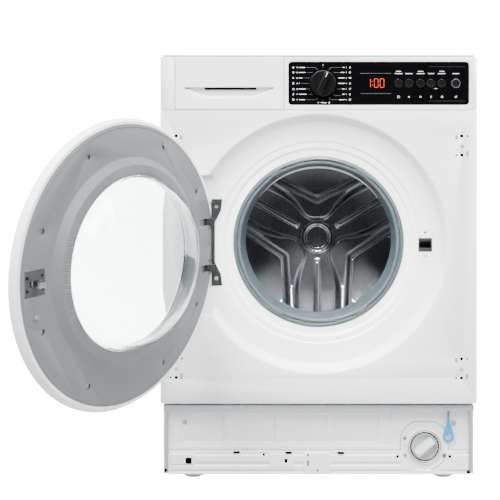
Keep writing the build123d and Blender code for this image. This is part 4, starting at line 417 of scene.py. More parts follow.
def rounded(corners, radius, steps=6, closed=True):
    """Each corner C becomes (1-t)^2 A + 2t(1-t) C + t^2 B, where A and B lie back along its sides by
    the radius, or by half a side where that is less."""
    corners = np.asarray(corners, float)
    radius = np.broadcast_to(np.asarray(radius, float), len(corners))
    before, after = np.roll(corners, 1, axis=0) - corners, np.roll(corners, -1, axis=0) - corners
    long_before, long_after = np.linalg.norm(before, axis=1), np.linalg.norm(after, axis=1)
    start = corners + before * (np.minimum(radius, long_before / 2) / np.maximum(long_before, 1e-9))[:, None]
    stop = corners + after * (np.minimum(radius, long_after / 2) / np.maximum(long_after, 1e-9))[:, None]
    t = np.linspace(0.0, 1.0, steps)[:, None, None]
    bends = ((1 - t) ** 2 * start + 2 * t * (1 - t) * corners + t ** 2 * stop).transpose(1, 0, 2)
    if closed:
        path = bends.reshape(-1, corners.shape[1])
    else:
        path = np.vstack([corners[:1], bends[1:-1].reshape(-1, corners.shape[1]), corners[-1:]])
    keep = np.linalg.norm(np.diff(path, axis=0, append=path[:1] if closed else path[-1:] + 1), axis=1) > 1e-5
    return path[keep]


def turned(outline, centre=(0.0, 0.0), steps=144, closed=True):
    """An outline of (radius, depth) pairs carried round an axis along the depth:
    x = r cos a, height = r sin a."""
    angle = np.linspace(0.0, 2.0 * math.pi, steps, endpoint=False)[:, None]
    radius, depth = np.asarray(outline, float).T
    points = np.stack([centre[0] + radius * np.cos(angle), depth + 0.0 * angle,
                       centre[1] + radius * np.sin(angle)], -1)
    return points, quads(steps, len(radius), True, closed)


def smooth_step(low, high, value):
    """0 below low, 1 above high and 3t^2 - 2t^3 between."""
    t = np.clip((np.asarray(value, float) - low) / (high - low), 0.0, 1.0)
    return t * t * (3.0 - 2.0 * t)


print("a rounded square has", len(rounded([(0, 0), (9, 0), (9, 9), (0, 9)], 2.0)), "points")

# %% [markdown]
# The back of the drum is the showpiece: one sheet of stainless steel pressed into three V-shaped
# lobes, with three ribs between them and a domed hub. Modelled by hand it would take many loops. As
# a height field it is one formula: the distance of each point from the outline of a lobe, put
# through a smooth step, gives the wall of the pressing. A polar grid keeps the rim round.

# %% Distance to an outline


def inside_distance(x, z, outline):
    """How far each point lies inside a closed outline, and minus how far it lies outside: the least
    distance to any side, signed by how many sides a ray to the right crosses."""
    start = np.asarray(outline, float)
    stop = np.roll(start, -1, axis=0)
    side = stop - start
    px, pz = x[..., None] - start[:, 0], z[..., None] - start[:, 1]
    share = np.clip((px * side[:, 0] + pz * side[:, 1]) / (side ** 2).sum(1), 0.0, 1.0)
    distance = np.sqrt((px - share * side[:, 0]) ** 2 + (pz - share * side[:, 1]) ** 2).min(-1)
    level = z[..., None]
    crosses = (start[:, 1] > level) != (stop[:, 1] > level)
    at = start[:, 0] + (level - start[:, 1]) * side[:, 0] / np.where(side[:, 1] == 0, 1e-9, side[:, 1])
    return np.where((crosses & (x[..., None] < at)).sum(-1) % 2 == 1, distance, -distance)


# %% The pressing's outlines
STAR_RISE, STAR_NOTCH, STAR_SPREAD = 14.0, 88.0, math.radians(63.0)
RIM_RISE = 13.0
ALONG = np.array([math.sin(STAR_SPREAD), math.cos(STAR_SPREAD)])
ACROSS = np.array([ALONG[1], -ALONG[0]])
NOTCH = np.array([0.0, STAR_NOTCH])
arm_far = NOTCH + ALONG * 190.0
right_side = [arm_far, arm_far + ACROSS * 19.0, NOTCH + ALONG * 78.0 + ACROSS * 21.5,
              NOTCH + ALONG * 42.0 + ACROSS * 31.0, (33.0, 55.0), (17.0, 43.5)]
mirror = [(-p[0], p[1]) for p in right_side[::-1]]
LOBE = rounded([NOTCH] + right_side + mirror, [3.0, 1.0, 1.0, 30.0, 18.0, 14.0, 14.0, 14.0, 14.0, 18.0, 30.0,
                                               1.0, 1.0], steps=7)
PANEL = rounded([(0.0, 99.0), (92.0, 146.0), (64.0, 214.0), (0.0, 226.0), (-64.0, 214.0), (-92.0, 146.0)],
                [10.0, 12.0, 20.0, 30.0, 20.0, 12.0], steps=5)
print("lobe of", len(LOBE), "points")

# %% Height of the pressing


def third_turn(x, z):
    """Each point turned into the third of the circle that is centred on straight up."""
    angle = np.arctan2(x, z)
    folded = (angle + math.pi / 3.0) % (2.0 * math.pi / 3.0) - math.pi / 3.0
    radius = np.hypot(x, z)
    return radius * np.sin(folded), radius * np.cos(folded)


def drum_back_rise(x, z):
    """How far the drum's back stands towards the door: lobes, sunk panels, ribs, hatching and hub."""
    radius = np.hypot(x, z)
    fx, fz = third_turn(x, z)
    lobe = inside_distance(fx, fz, LOBE)
    notch_side = smooth_step(40.0, 70.0, fz - 0.42 * np.abs(fx))
    rise = STAR_RISE * smooth_step(-4.0 - 5.0 * notch_side, 4.5 + 5.0 * notch_side, lobe)
    from_notch = (np.abs(fx) * ALONG[0] + (fz - STAR_NOTCH) * ALONG[1])
    hatch = np.where((from_notch > 62.0) & (lobe > 5.0), np.sin(from_notch * 2.0 * math.pi / 5.2), 0.0)
    rise += 0.9 * hatch * smooth_step(62.0, 80.0, from_notch) * smooth_step(5.0, 8.0, lobe)
    panel = inside_distance(fx, fz, PANEL)
    rise += 1.6 * smooth_step(1.6, 0.0, np.abs(panel + 1.0)) - 1.4 * smooth_step(0.0, 5.0, panel)
    turn = np.abs((np.degrees(np.arctan2(x, z)) + 240.0) % 120.0 - 60.0)
    off_rib = radius * np.sin(np.radians(turn))
    along_rib = radius * np.cos(np.radians(turn))
    rib = np.sqrt(np.clip(1.0 - (off_rib / 7.0) ** 2, 0.0, 1.0))
    ends = smooth_step(50.0, 62.0, along_rib) * smooth_step(206.0, 190.0, along_rib)
    rise = np.maximum(rise, 6.0 * rib * ends * (np.abs(off_rib) < 7.0))
    hub = 8.0 * smooth_step(38.0, 32.5, radius) + 4.0 * smooth_step(3.6, 0.0, np.abs(radius - 32.0))
    rise = np.maximum(rise, hub) - 5.0 * smooth_step(30.0, 26.0, radius)
    return rise * smooth_step(239.0, 233.0, radius) + RIM_RISE * smooth_step(118.0, 262.0, radius)


print("tallest point", round(float(drum_back_rise(np.linspace(0, 230, 800), np.zeros(800)).max()), 1), "mm")

# %% The drum's back
SHEET_FACE = 299.0
rings = np.concatenate([[0.0], np.linspace(6.0, 239.0, 150)])
spokes = np.linspace(0.0, 2.0 * math.pi, 480, endpoint=False)
back_x, back_z = rings[None, :] * np.cos(spokes)[:, None], rings[None, :] * np.sin(spokes)[:, None]
back_y = SHEET_FACE - drum_back_rise(back_x, back_z)
pressing = piece("drum_back_pressing", in_tub(np.stack([back_x, back_y, back_z], -1)),
                 quads(len(spokes), len(rings), True), stainless, "drum", "stainless", ("drum_back",),
                 angle=70)
wall = pressing.modifiers.new("sheet", "SOLIDIFY")
wall.thickness = 0.0008
wall.offset = -1.0

# %% [markdown]
# Water leaves through rows of punched holes in the sunk panels. A hole this small, seen from outside,
# shows only the shade inside it. The sheet isn't pierced: each hole is a low disc with a soft rim laid
# on it, painted black as that shade.

# %% Drain holes
HOLE_ROWS = ((148.0, 7), (161.0, 10), (174.0, 11), (187.0, 12), (200.0, 11))
HOLE_PITCH = 12.6


def hole_places():
    """Rows of holes along arcs of the three sunk panels, as (x, z) about the drum's axis."""
    places = []
    for third in range(3):
        middle = math.pi / 2.0 - third * 2.0 * math.pi / 3.0
        for radius, count in HOLE_ROWS:
            spread = (np.arange(count) - (count - 1) / 2.0) * HOLE_PITCH / radius
            places.append(np.stack([radius * np.cos(middle + spread), radius * np.sin(middle + spread)], -1))
    return np.vstack(places)


cup = rounded([(0.0, -0.22), (3.0, -0.24), (3.2, -0.5), (3.8, -0.2), (4.3, 0.3)],
              [0, 0.1, 0.1, 0.2, 0], 3, False)
cup_points, cup_faces = turned(cup, steps=12, closed=False)
holes = hole_places()
level = SHEET_FACE - drum_back_rise(holes[:, 0], holes[:, 1])
all_cups = cup_points[None] + np.stack([holes[:, 0], level, holes[:, 1]], -1)[:, None, None, :]
cup_total = cup_points.shape[0] * cup_points.shape[1]
cup_quads = (cup_faces[None] + (np.arange(len(holes)) * cup_total)[:, None, None]).reshape(-1, 4)
piece("drum_drain_hole_shades", in_tub(all_cups), cup_quads, painted_shade_black, "drum", "stainless", angle=60)
print(len(holes), "holes")

# %% [markdown]
# The gasket is a moulded rubber bellows between the front panel and the tub. It is flat towards the
# room, dips in a groove, then rolls over into the lip that touches the glass. Its section is one
# rounded outline carried round the door's axis. The tub swings a little on its springs, and the
# rubber gives; the piece stays where it is drawn, tied to neither body.

# %% Gasket
gasket_front = [(163.8, 25.6), (158.6, 23.9), (157.0, 24.4), (156.4, 28.2), (155.2, 28.2), (154.4, 25.4),
                (150.2, 26.0), (148.4, 29.5), (147.8, 34.0), (146.4, 47.0), (143.4, 57.0), (142.8, 62.5),
                (145.0, 66.0), (151.0, 60.0), (157.0, 56.0), (166.0, 62.0), (169.4, 66.0), (169.4, 70.0),
                (165.0, 68.0), (157.5, 60.0), (153.5, 57.0), (149.4, 60.5), (147.6, 58.6), (150.0, 48.0),
                (152.4, 37.0), (155.0, 32.5), (163.3, 30.0)]
outline = rounded(gasket_front, 1.0, 5)
rubber, rubber_faces = turned(outline, (0.0, DISH_Z), 180)
TAB_ANGLES = np.radians([57.5, 122.5, 238.0, 302.0])


def gasket_tab(angle):
    """A pad that follows the gasket's rim: a rounded block bent round the axis."""
    section = rounded([(147.6, 29.5), (151.5, 23.4), (158.4, 22.2), (158.8, 27.5), (149.4, 33.0)], 0.7, 3)
    turn = angle + np.linspace(-0.085, 0.085, 14)[:, None]
    radius, depth = section.T
    slim = 1.0 - 0.25 * smooth_step(0.8, 1.0, np.abs(np.linspace(-1, 1, 14)))[:, None]
    radius = 152.8 + (radius - 152.8) * slim
    points = np.stack([radius * np.cos(turn), depth + 0.0 * turn, DISH_Z + radius * np.sin(turn)], -1)
    count = len(section)
    faces = quads(14, count, False, True).tolist()
    return points, faces + [list(range(count)), list(range(13 * count, 14 * count))[::-1]]


piece("door_gasket_bellows", *joined((rubber, rubber_faces), *[gasket_tab(a) for a in TAB_ANGLES]),
      gasket_epdm, "root", "grey_rubber", ("door_gasket",), angle=50,
      between=((0.0, 34.0, DISH_Z), (0.0, 60.0, DISH_Z)))

# %% [markdown]
# Many mouldings are a rounded rectangle that is drawn in a little towards its face. One function
# stacks such rectangles. Its levels are pairs of a depth and an inset, and a quarter circle of them
# gives the soft edge that a mould leaves.

# %% Rounded plates


def pillow(front, back, radius, steps=5):
    """Levels from the back to a face at front, with a quarter circle of that radius at the edge:
    depth = front + r - r sin t, inset = r - r cos t."""
    t = np.linspace(0.0, math.pi / 2.0, steps)
    side = 1.0 if back > front else -1.0
    curve = np.stack([front + side * (radius - radius * np.sin(t)), radius - radius * np.cos(t)], -1)
    return np.vstack([[back, 0.0], curve])


def plate(centre, half, corner, levels, turn=0.0, steps=7):
    """A rounded rectangle of those half sides at each level, turned about its centre and capped."""
    quarter = np.linspace(0.0, math.pi / 2.0, steps)
    rings = []
    for depth, inset in levels:
        w, h = half[0] - inset, half[1] - inset
        r = min(max(corner - inset, 0.05), w, h)
        sides = [(sx * (w - r) + r * np.cos(quarter + k * math.pi / 2.0),
                  sz * (h - r) + r * np.sin(quarter + k * math.pi / 2.0))
                 for k, (sx, sz) in enumerate(((1, 1), (-1, 1), (-1, -1), (1, -1)))]
        x, z = (np.concatenate([side[i] for side in sides]) for i in (0, 1))
        c, s = math.cos(turn), math.sin(turn)
        rings.append(np.stack([centre[0] + c * x - s * z, np.full_like(x, depth),
                               centre[1] + s * x + c * z], -1))
    points = np.stack(rings)
    count = points.shape[1]
    caps = [list(range(count)), list(range((len(rings) - 1) * count, len(rings) * count))]
    return points, quads(len(rings), count, False, True).tolist() + caps


def slab(x_line, z_line, depth, back):
    """A sheet whose front is depth(x, z) over a grid, with sides and a flat back."""
    x, z = np.meshgrid(x_line, z_line)
    front = np.stack([x, depth(x, z), z], -1)
    rows, columns = x.shape
    number = np.arange(rows * columns).reshape(rows, columns)
    rim = np.concatenate([number[0, :-1], number[:-1, -1], number[-1, :0:-1], number[:0:-1, 0]])
    behind = front.reshape(-1, 3)[rim] * (1.0, 0.0, 1.0) + (0.0, back, 0.0)
    after = np.roll(np.arange(len(rim)), -1)
    start = rows * columns
    sides = np.stack([rim, rim[after], start + after, start + np.arange(len(rim))], -1)
    return (np.vstack([front.reshape(-1, 3), behind]),
            quads(rows, columns).tolist() + sides.tolist() + [(start + np.arange(len(rim))[::-1]).tolist()])


def edge_fall(x, z, box, radius):
    """How far a face falls back within a radius of the box's sides: r (1 - sqrt(1 - t^2))."""
    near = np.minimum(np.minimum(x - box[0], box[1] - x), np.minimum(z - box[2], box[3] - z))
    t = np.clip(1.0 - near / radius, 0.0, 1.0)
    return radius * (1.0 - np.sqrt(1.0 - t * t))


def lines(low, high, step, *fine):
    """Grid lines from low to high, with closer ones of half a millimetre round each fine place."""
    coarse = np.linspace(low, high, int(round((high - low) / step)) + 1)
    ends = [low + v for v in (0.15, 0.4, 0.8, 1.5)] + [high - v for v in (0.15, 0.4, 0.8, 1.5)]
    close = [place + v for place in fine for v in (-1.5, -0.8, -0.3, 0.0, 0.3, 0.8, 1.5)]
    every = np.unique(np.round(np.concatenate([coarse, ends, close]), 3))
    return every[(every >= low) & (every <= high)]


print("a plate's faces:", len(plate((0, 0), (5, 3), 1.0, pillow(0.0, 4.0, 0.8))[1]))

# %% [markdown]
# The drawer's front is one moulding with a finger scoop. Its face slopes in gently, then drops into a
# deeper pocket whose lower edge is a smile: the drop follows a smooth step of the distance from the
# middle. Above it the face comes back square, and fingers pull on that hidden edge.

# %% Drawer front
DRAWER_BOX = (-269.8, -65.8, 716.5, 815.3)
SCOOP_BOX = (-252.0, -85.0, 727.0, 758.7)


def drawer_depth(x, z):
    """Depth of the drawer's face: soft edges, a gentle slope and the smiling pocket."""
    x0, x1, z0, z1 = SCOOP_BOX
    middle, reach = (x0 + x1) / 2.0, (x1 - x0) / 2.0
    within = smooth_step(-0.6, 0.6, x - x0) * smooth_step(-0.6, 0.6, x1 - x)
    under_lip = smooth_step(z1 + 0.35, z1 - 0.35, z)
    slope = 2.5 * smooth_step(z0, z1 + 8.0, z)
    smile = z1 - 4.0 - 15.0 * (1.0 - smooth_step(0.5, 1.0, np.abs(x - middle) / reach))
    pocket = 7.0 * smooth_step(-1.2, 3.0, z - smile) * smooth_step(0.0, 2.5, reach - np.abs(x - middle))
    return edge_fall(x, z, DRAWER_BOX, 1.5) + (slope + pocket) * within * under_lip


drawer_grid = slab(lines(DRAWER_BOX[0], DRAWER_BOX[1], 1.7, -252.0, -85.0),
                   lines(DRAWER_BOX[2], DRAWER_BOX[3], 1.1, 758.7), drawer_depth, 13.4)
piece("drawer_front_moulding", *drawer_grid, abs_white, "drawer", "white_plastic", ("drawer_front",),
      angle=42)
# A black strip deep in the gap behind the scoop's lip paints the shade of that gap.
grip_slot = plate((-166.5, 756.4), (48.8, 2.0), 0.6, pillow(6.4, 10.6, 0.3))
piece("drawer_grip_gap_shade", *grip_slot, abs_black, "drawer", "black_plastic")

# %% [markdown]
# The dial is a turned disc with a tall grip across it, drafted so that it leaves its mould, and a pale
# pointer line at the end that points to the programme. Its rim has fine grooves for the fingers. The
# grip stands 24 degrees off upright, where the photograph shows it.

# %% Dial
KNOB_X, KNOB_TURN = 8.1, math.radians(-24.0)
dial_outline = rounded([(0.0, -5.4), (20.5, -5.9), (24.2, -5.6), (24.8, -0.9), (0.0, -0.9)],
                       [0.0, 1.0, 1.6, 0.4, 0.0], 6, False)
dial_points, dial_faces = turned(dial_outline, steps=240, closed=False)
spin = np.arctan2(dial_points[..., 2], dial_points[..., 0])
reach = np.hypot(dial_points[..., 0], dial_points[..., 2])
groove = 0.22 * np.clip(np.sin(spin * 60.0), 0.0, 1.0) * smooth_step(23.0, 24.4, reach)
shrink = 1.0 - groove / np.maximum(reach, 1e-6)
dial_points = dial_points * np.stack([shrink, np.ones_like(shrink), shrink], -1)
dial_points = dial_points + (KNOB_X, 0.0, CONTROLS_Z)
grip_levels = [(-4.6, -0.9), (-6.4, 0.0), (-8.0, 0.2), (-13.2, 0.9), (-14.1, 1.2), (-14.7, 1.8), (-15.0, 2.9)]
grip = plate((KNOB_X, CONTROLS_Z), (5.9, 23.0), 5.2, grip_levels, KNOB_TURN, 9)
piece("program_dial", *joined((dial_points, dial_faces), grip), abs_black, "knob", "silver_plastic",
      ("program_knob",), angle=40)

# %% [markdown]
# Marks on the panel are printed in white ink. Printed ink has almost no thickness, but a surface laid
# exactly on another would flicker, so each stroke is a thin tile a few hundredths of a millimetre
# proud. Strokes are given in the photograph's own pixels, since that is where they were measured.

# %% Ink
white_ink = skin("white_panel_ink", ("#e9ebec", "#dfe1e3"), (0.5, 0.6), 1.0, 0.002)
grey_ink = skin("grey_panel_ink", ("#5d6063", "#575a5d"), (0.5, 0.6), 1.0, 0.002)
INK_FACE, INK_BACK = -0.36, -0.29
PHOTO_SCALE, PHOTO_MIDDLE, PHOTO_TOP = 0.5321, 318.6, 54.5
MACHINE_HEIGHT = 820.0


def on_panel(pixels):
    """Pixels of the photograph as millimetres (x, height) on the front plane."""
    pixels = np.asarray(pixels, float)
    return np.stack([(pixels[..., 0] - PHOTO_MIDDLE) / PHOTO_SCALE,
                     MACHINE_HEIGHT - (pixels[..., 1] - PHOTO_TOP) / PHOTO_SCALE], -1)


def stroke(a, b, width=0.6, face=INK_FACE, back=INK_BACK):
    """A straight printed line from a to b, in millimetres, as a thin tile."""
    a, b = np.asarray(a, float), np.asarray(b, float)
    along = (b - a) / max(float(np.linalg.norm(b - a)), 1e-6)
    across = np.array([-along[1], along[0]]) * width / 2.0
    corners = np.array([a - across, b - across, b + across, a + across])
    points = np.array([[x, y, z] for y in (face, back) for x, z in corners])
    return points, [[0, 1, 2, 3], [7, 6, 5, 4], [0, 4, 5, 1], [1, 5, 6, 2], [2, 6, 7, 3], [3, 7, 4, 0]]


def printed(x0, y0, x1, y1, width):
    """A printed line between two places in the photograph's pixels."""
    return stroke(*on_panel([(x0, y0), (x1, y1)]), width)


def path(points, width=0.6, closed=False):
    """Strokes through a row of points."""
    points = np.asarray(points, float)
    if closed:
        points = np.vstack([points, points[:1]])
    return joined(*[stroke(p, q, width) for p, q in zip(points[:-1], points[1:])])


def ring_path(centre, radius, width=0.6, count=20):
    """A printed circle."""
    a = np.linspace(0.0, 2.0 * math.pi, count, endpoint=False)
    return path(np.stack([centre[0] + radius * np.cos(a), centre[1] + radius * np.sin(a)], -1), width, True)


def figures(text, centre, height):
    """Digits of the built-in font as a thin tile, centred on a point."""
    curve = bpy.data.curves.new("figures", "FONT")
    curve.body = text
    curve.size = 1.0
    curve.extrude = 0.02
    helper = bpy.data.objects.new("figures_helper", curve)
    bpy.context.scene.collection.objects.link(helper)
    mesh = bpy.data.meshes.new_from_object(helper.evaluated_get(bpy.context.evaluated_depsgraph_get()))
    points = np.array([v.co[:] for v in mesh.vertices])
    faces = [list(p.vertices) for p in mesh.polygons]
    bpy.data.objects.remove(helper)
    bpy.data.meshes.remove(mesh)
    flat = points[:, :2] - (points[:, :2].max(0) + points[:, :2].min(0)) / 2.0
    flat *= height / np.ptp(flat[:, 1])
    depth = np.where(points[:, 2] > 0, INK_FACE, INK_BACK)
    return np.stack([centre[0] + flat[:, 0], depth, centre[1] + flat[:, 1]], -1), faces


def symbol(kind, centre, size):
    """One of a few plain signs: drop, ring, square, wave, sun, spiral, bars or shirt."""
    c = np.asarray(centre, float)
    t = np.linspace(0.0, 1.0, 9)
    if kind == "drop":
        a = np.linspace(math.radians(-240.0), math.radians(60.0), 12)
        low = np.stack([0.55 * np.cos(a), -0.25 + 0.55 * np.sin(a)], -1)
        return path(c + size * np.vstack([low, [(0.0, 1.0)]]), 0.5, True)
    if kind == "ring":
        return ring_path(c, size * 0.8, 0.5)
    if kind == "square":
        return path(c + size * np.array([(-0.8, -0.8), (0.8, -0.8), (0.8, 0.8), (-0.8, 0.8)]), 0.5, True)
    if kind == "wave":
        rows = [path(c + size * np.stack([2.0 * t - 1.0, shift + 0.22 * np.sin(t * 4.0 * math.pi)], -1), 0.5)
                for shift in (-0.5, 0.0, 0.5)]
        return joined(*rows)
    if kind == "sun":
        rays = [stroke(c + size * 0.7 * np.array([math.cos(a), math.sin(a)]),
                       c + size * np.array([math.cos(a), math.sin(a)]), 0.4)
                for a in np.linspace(0.0, 2.0 * math.pi, 8, endpoint=False)]
        return joined(ring_path(c, size * 0.4, 0.5), *rays)
    if kind == "spiral":
        a = t * 3.5 * math.pi
        return path(c + size * np.stack([(0.1 + 0.8 * t) * np.cos(a), (0.1 + 0.8 * t) * np.sin(a)], -1), 0.5)
    if kind == "bars":
        return joined(*[stroke(c + size * np.array([x, -0.8]), c + size * np.array([x, 0.8]), 0.6)
                        for x in (-0.6, 0.0, 0.6)])
    shirt = np.array([(-0.45, -0.9), (0.45, -0.9), (0.45, 0.2), (0.8, 0.0), (1.0, 0.5), (0.4, 0.9),
                      (-0.4, 0.9), (-1.0, 0.5), (-0.8, 0.0), (-0.45, 0.2)])
    return path(c + size * shirt, 0.45, True)


SIGNS = ("drop", "shirt", "wave", "sun", "ring", "spiral", "square", "bars")
print(len(SIGNS), "signs")

# %% [markdown]
# Fourteen programmes stand in two columns beside the dial, each with a sign, a number and a bar for
# its name, and a leader line that runs to the dial. One more stands above the dial and one below.

# %% Programme marks
ROWS = [67.5, 72.5, 77.9, 83.4, 89.0, 94.3, 99.7]
LEFT_LEADERS = {0: [(306.3, 67.5), (315.3, 67.5), (317.9, 70.1)], 1: [(306.8, 72.5), (312.6, 72.5)],
                2: [(303.6, 77.9), (309.8, 77.9)], 3: [(301.0, 83.4), (308.9, 83.4)],
                4: [(306.8, 89.0), (309.8, 89.0)], 5: [(308.4, 94.3), (311.6, 94.3), (313.0, 94.9)],
                6: [(306.3, 99.7), (315.8, 99.7), (317.9, 98.1)]}
RIGHT_LEADERS = {0: [(328.3, 70.2), (331.0, 67.5), (341.3, 67.5)], 1: [(333.5, 72.5), (339.5, 72.5)],
                 4: [(337.0, 89.0), (340.8, 89.0)], 5: [(333.4, 94.0), (334.8, 95.6), (341.1, 95.6)],
                 6: [(328.7, 97.2), (331.0, 99.7), (337.5, 99.7)]}
LEFT_ENDS = [305.0, 305.4, 302.4, 299.8, 305.4, 306.6, 305.0]
RIGHT_STARTS = [342.4, 340.8, 338.2, 338.2, 342.0, 342.2, 339.0]
white_marks, grey_marks = [], []
for row, height in enumerate(ROWS):
    number_place = on_panel([(297.1, height), (346.2, height)])
    white_marks += [figures(str(14 - row), number_place[0], 2.5), figures(str(row + 2), number_place[1], 2.5),
                    symbol(SIGNS[(row + 3) % 8], on_panel((293.3, height)), 1.9),
                    symbol(SIGNS[row], on_panel((350.0, height)), 1.9)]
    bars = on_panel([(299.0, height), (LEFT_ENDS[row], height), (RIGHT_STARTS[row], height), (344.6, height)])
    white_marks += [stroke(bars[0], bars[1], 1.1), stroke(bars[2], bars[3], 1.1)]
    for leaders in (LEFT_LEADERS, RIGHT_LEADERS):
        if row in leaders:
            grey_marks.append(path(on_panel(leaders[row]), 0.45))
white_marks += [figures("1", on_panel((323.0, 64.9)), 2.6), figures("15", on_panel((318.4, 102.6)), 2.5),
                printed(320.8, 102.6, 326.8, 102.6, 1.1), symbol("drop", on_panel((329.2, 102.6)), 1.7)]
grey_marks += [printed(323.0, 66.6, 323.0, 68.2, 0.5), printed(323.0, 99.4, 323.0, 100.8, 0.5)]
print(len(white_marks), "white marks,", len(grey_marks), "leaders")

# %% [markdown]
# The display shows a time in lit seven-part figures. A part is a tile that glows orange-red behind the
# black panel, where the light comes from inside. The parts of a figure are named a to g round it.

# %% Display and buttons' marks
PARTS = {"a": ((0, 1), (1, 1)), "b": ((1, 1), (1, 0.5)), "c": ((1, 0.5), (1, 0)), "d": ((1, 0), (0, 0)),
         "e": ((0, 0), (0, 0.5)), "f": ((0, 0.5), (0, 1)), "g": ((0, 0.5), (1, 0.5))}
FIGURE = {"0": "abcdef", "1": "bc"}


def lit_figure(sign, left, low, width, height, thick):
    """One seven-part figure, its parts a little short of the corners so that they stand apart."""
    tiles = []
    for part in FIGURE[sign]:
        (x0, z0), (x1, z1) = PARTS[part]
        a = np.array([left + width * x0, low + height * z0])
        b = np.array([left + width * x1, low + height * z1])
        short = (b - a) / np.linalg.norm(b - a) * thick * 0.62
        tiles.append(stroke(a + short, b - short, thick))
    return joined(*tiles)


lit_finish, lit_tree = new_finish("lit_display_segments")
close_tree(lit_tree, add(lit_tree, "BsdfPrincipled", {
    "Base Color": tone("#c42a12"), "Roughness": 0.4, "Emission Color": tone("#ff4a22"),
    "Emission Strength": 0.7}))
(left, top), (right, low) = on_panel([(368.9, 78.8), (384.6, 87.4)])
step = (right - left) / 3.35
lit = [lit_figure("1", left - step * 0.45, low, step * 0.8, top - low, 1.1),
       lit_figure("0", left + step * 1.15, low, step * 0.82, top - low, 1.1),
       lit_figure("0", left + step * 2.4, low, step * 0.82, top - low, 1.1)]
lit += [stroke((left + step * 0.72, low + h), (left + step * 0.72, low + h + 1.2), 1.2)
        for h in ((top - low) * 0.24, (top - low) * 0.66)]
piece("display_time", *joined(*lit), lit_finish, "root", "black_gloss", angle=30)
grey_marks += [printed(360.4, y, 391.0, y, 0.5) for y in (73.4, 93.6)]
faint_marks = [printed(429.0, y, 465.0, y, 0.35) for y in (66.7, 101.0)]
BUTTON_PIXELS = [398.5, 409.0, 420.5, 431.0, 441.9, 455.9]
for place, label in zip(BUTTON_PIXELS, (7.6, 7.0, 8.0, 6.0, 7.6, 7.0)):
    white_marks.append(printed(place - label / 2, 73.6, place + label / 2, 73.6, 1.0))
    if label > 7.2:
        white_marks.append(printed(place - label / 3, 71.4, place + label / 3, 71.4, 0.9))
for place, sign in zip(BUTTON_PIXELS, ("square", "spiral", "sun", "drop", "ring", "bars")):
    white_marks.append(symbol(sign, on_panel((place, 96.9)), 2.2))
white_marks += [printed(434.0, 88.6, 434.6, 88.6, 0.5), printed(437.2, 88.6, 437.8, 88.6, 0.5)]
lamp_dot = turned([(0.0, -0.42), (0.7, -0.4), (0.9, -0.29), (0.0, -0.29)], on_panel((435.9, 88.6)), 16, False)
piece("panel_white_marks", *joined(*white_marks), white_ink, "root", "white_plastic", angle=30)
piece("panel_grey_marks", *joined(*grey_marks), grey_ink, "root", "grey_plastic", angle=30)
piece("panel_faint_lines", *joined(*faint_marks), nylon_grey, "root", "dark_grey_plastic", angle=30)
piece("panel_indicator", *lamp_dot, white_ink, "root", "white_plastic", angle=60)

# %% [markdown]
# A button is a low black cap with a hollow top and a soft rim that catches the light. Each of the six
# moves with its own body. The last starts the machine, and a grey ring on its rim is a painted highlight.

# %% Buttons
BUTTON_X = (150.2, 169.9, 191.5, 211.2, 231.7, 258.0)
for place, x in enumerate(BUTTON_X):
    radius = 8.8 if place == 5 else 7.7
    cap_outline = rounded([(0.0, -0.55), (radius - 2.0, -0.75), (radius - 0.9, -1.2),
                           (radius - 0.1, -1.0), (radius, 0.0), (radius, 1.2), (0.0, 1.2)],
                          [0, 1.2, 0.6, 0.5, 0.3, 0.1, 0], 5, False)
    piece("button_cap_%d" % (place + 1), *turned(cap_outline, (x, CONTROLS_Z), 64, False), abs_black,
          "button_%d_body" % (place + 1), "silver_plastic", ("button_%d" % (place + 1),), angle=50)
# A grey bead on the start button's rim paints the highlight along it.
ring_outline = rounded([(7.2, -1.12), (7.7, -1.36), (8.2, -1.12), (8.0, -0.9), (7.4, -0.9)], 0.15, 3)
piece("start_button_ring", *turned(ring_outline, (BUTTON_X[5], CONTROLS_Z), 64), grey_ink, "button_6_body",
      "silver_plastic", angle=60)
POINTER_REACH = 16.5
pointer = plate((KNOB_X - math.sin(KNOB_TURN) * POINTER_REACH,
                 CONTROLS_Z + math.cos(KNOB_TURN) * POINTER_REACH), (0.55, 4.6), 0.5,
                pillow(-15.05, -14.2, 0.1, 3), KNOB_TURN, 4)
piece("dial_pointer", *pointer, white_ink, "knob", "white_plastic", angle=40)

# %% [markdown]
# The plinth plate is thin white sheet with pressings that stiffen it: one wide shallow step with a
# rounded bead along its lower edge, and four deeper panels in it. Each is the same idea, a smooth step
# of the distance to a box, so the whole plate is a sum of a few terms.

# %% Plinth plate


def box_distance(x, z, box, corner=4.0):
    """How far a point lies inside a box with rounded corners, and minus how far outside."""
    middle = (box[0] + box[1]) / 2.0, (box[2] + box[3]) / 2.0
    over_x = np.abs(x - middle[0]) - (box[1] - box[0]) / 2.0 + corner
    over_z = np.abs(z - middle[1]) - (box[3] - box[2]) / 2.0 + corner
    outside = np.hypot(np.maximum(over_x, 0.0), np.maximum(over_z, 0.0))
    return corner - outside - np.minimum(np.maximum(over_x, over_z), 0.0)


FILTER_X, FILTER_Z = 203.4, 71.8
PLINTH_PANELS = [(-268.6 + 99.3 * n, -182.0 + 99.3 * n, 76.8, 130.5) for n in range(4)]
WIDE_STEP = (-281.0, 141.0, 69.6, 141.5)


def plinth_depth(x, z):
    """Depth of the plate: the wide step, its bead, four panels and an upright bead at the right."""
    depth = 31.0 + 1.6 * smooth_step(-1.2, 1.2, box_distance(x, z, WIDE_STEP, 7.0))
    for panel in PLINTH_PANELS:
        depth = depth + 3.0 * smooth_step(-1.6, 1.6, box_distance(x, z, panel, 5.0))
    bead = np.hypot(np.maximum(np.abs(x + 69.2) - 205.0, 0.0), z - 70.4)
    upright = np.hypot(x - 269.0, np.maximum(np.abs(z - 106.0) - 32.0, 0.0))
    return depth - 1.7 * smooth_step(3.2, 0.4, bead) - 1.3 * smooth_step(2.6, 0.4, upright)


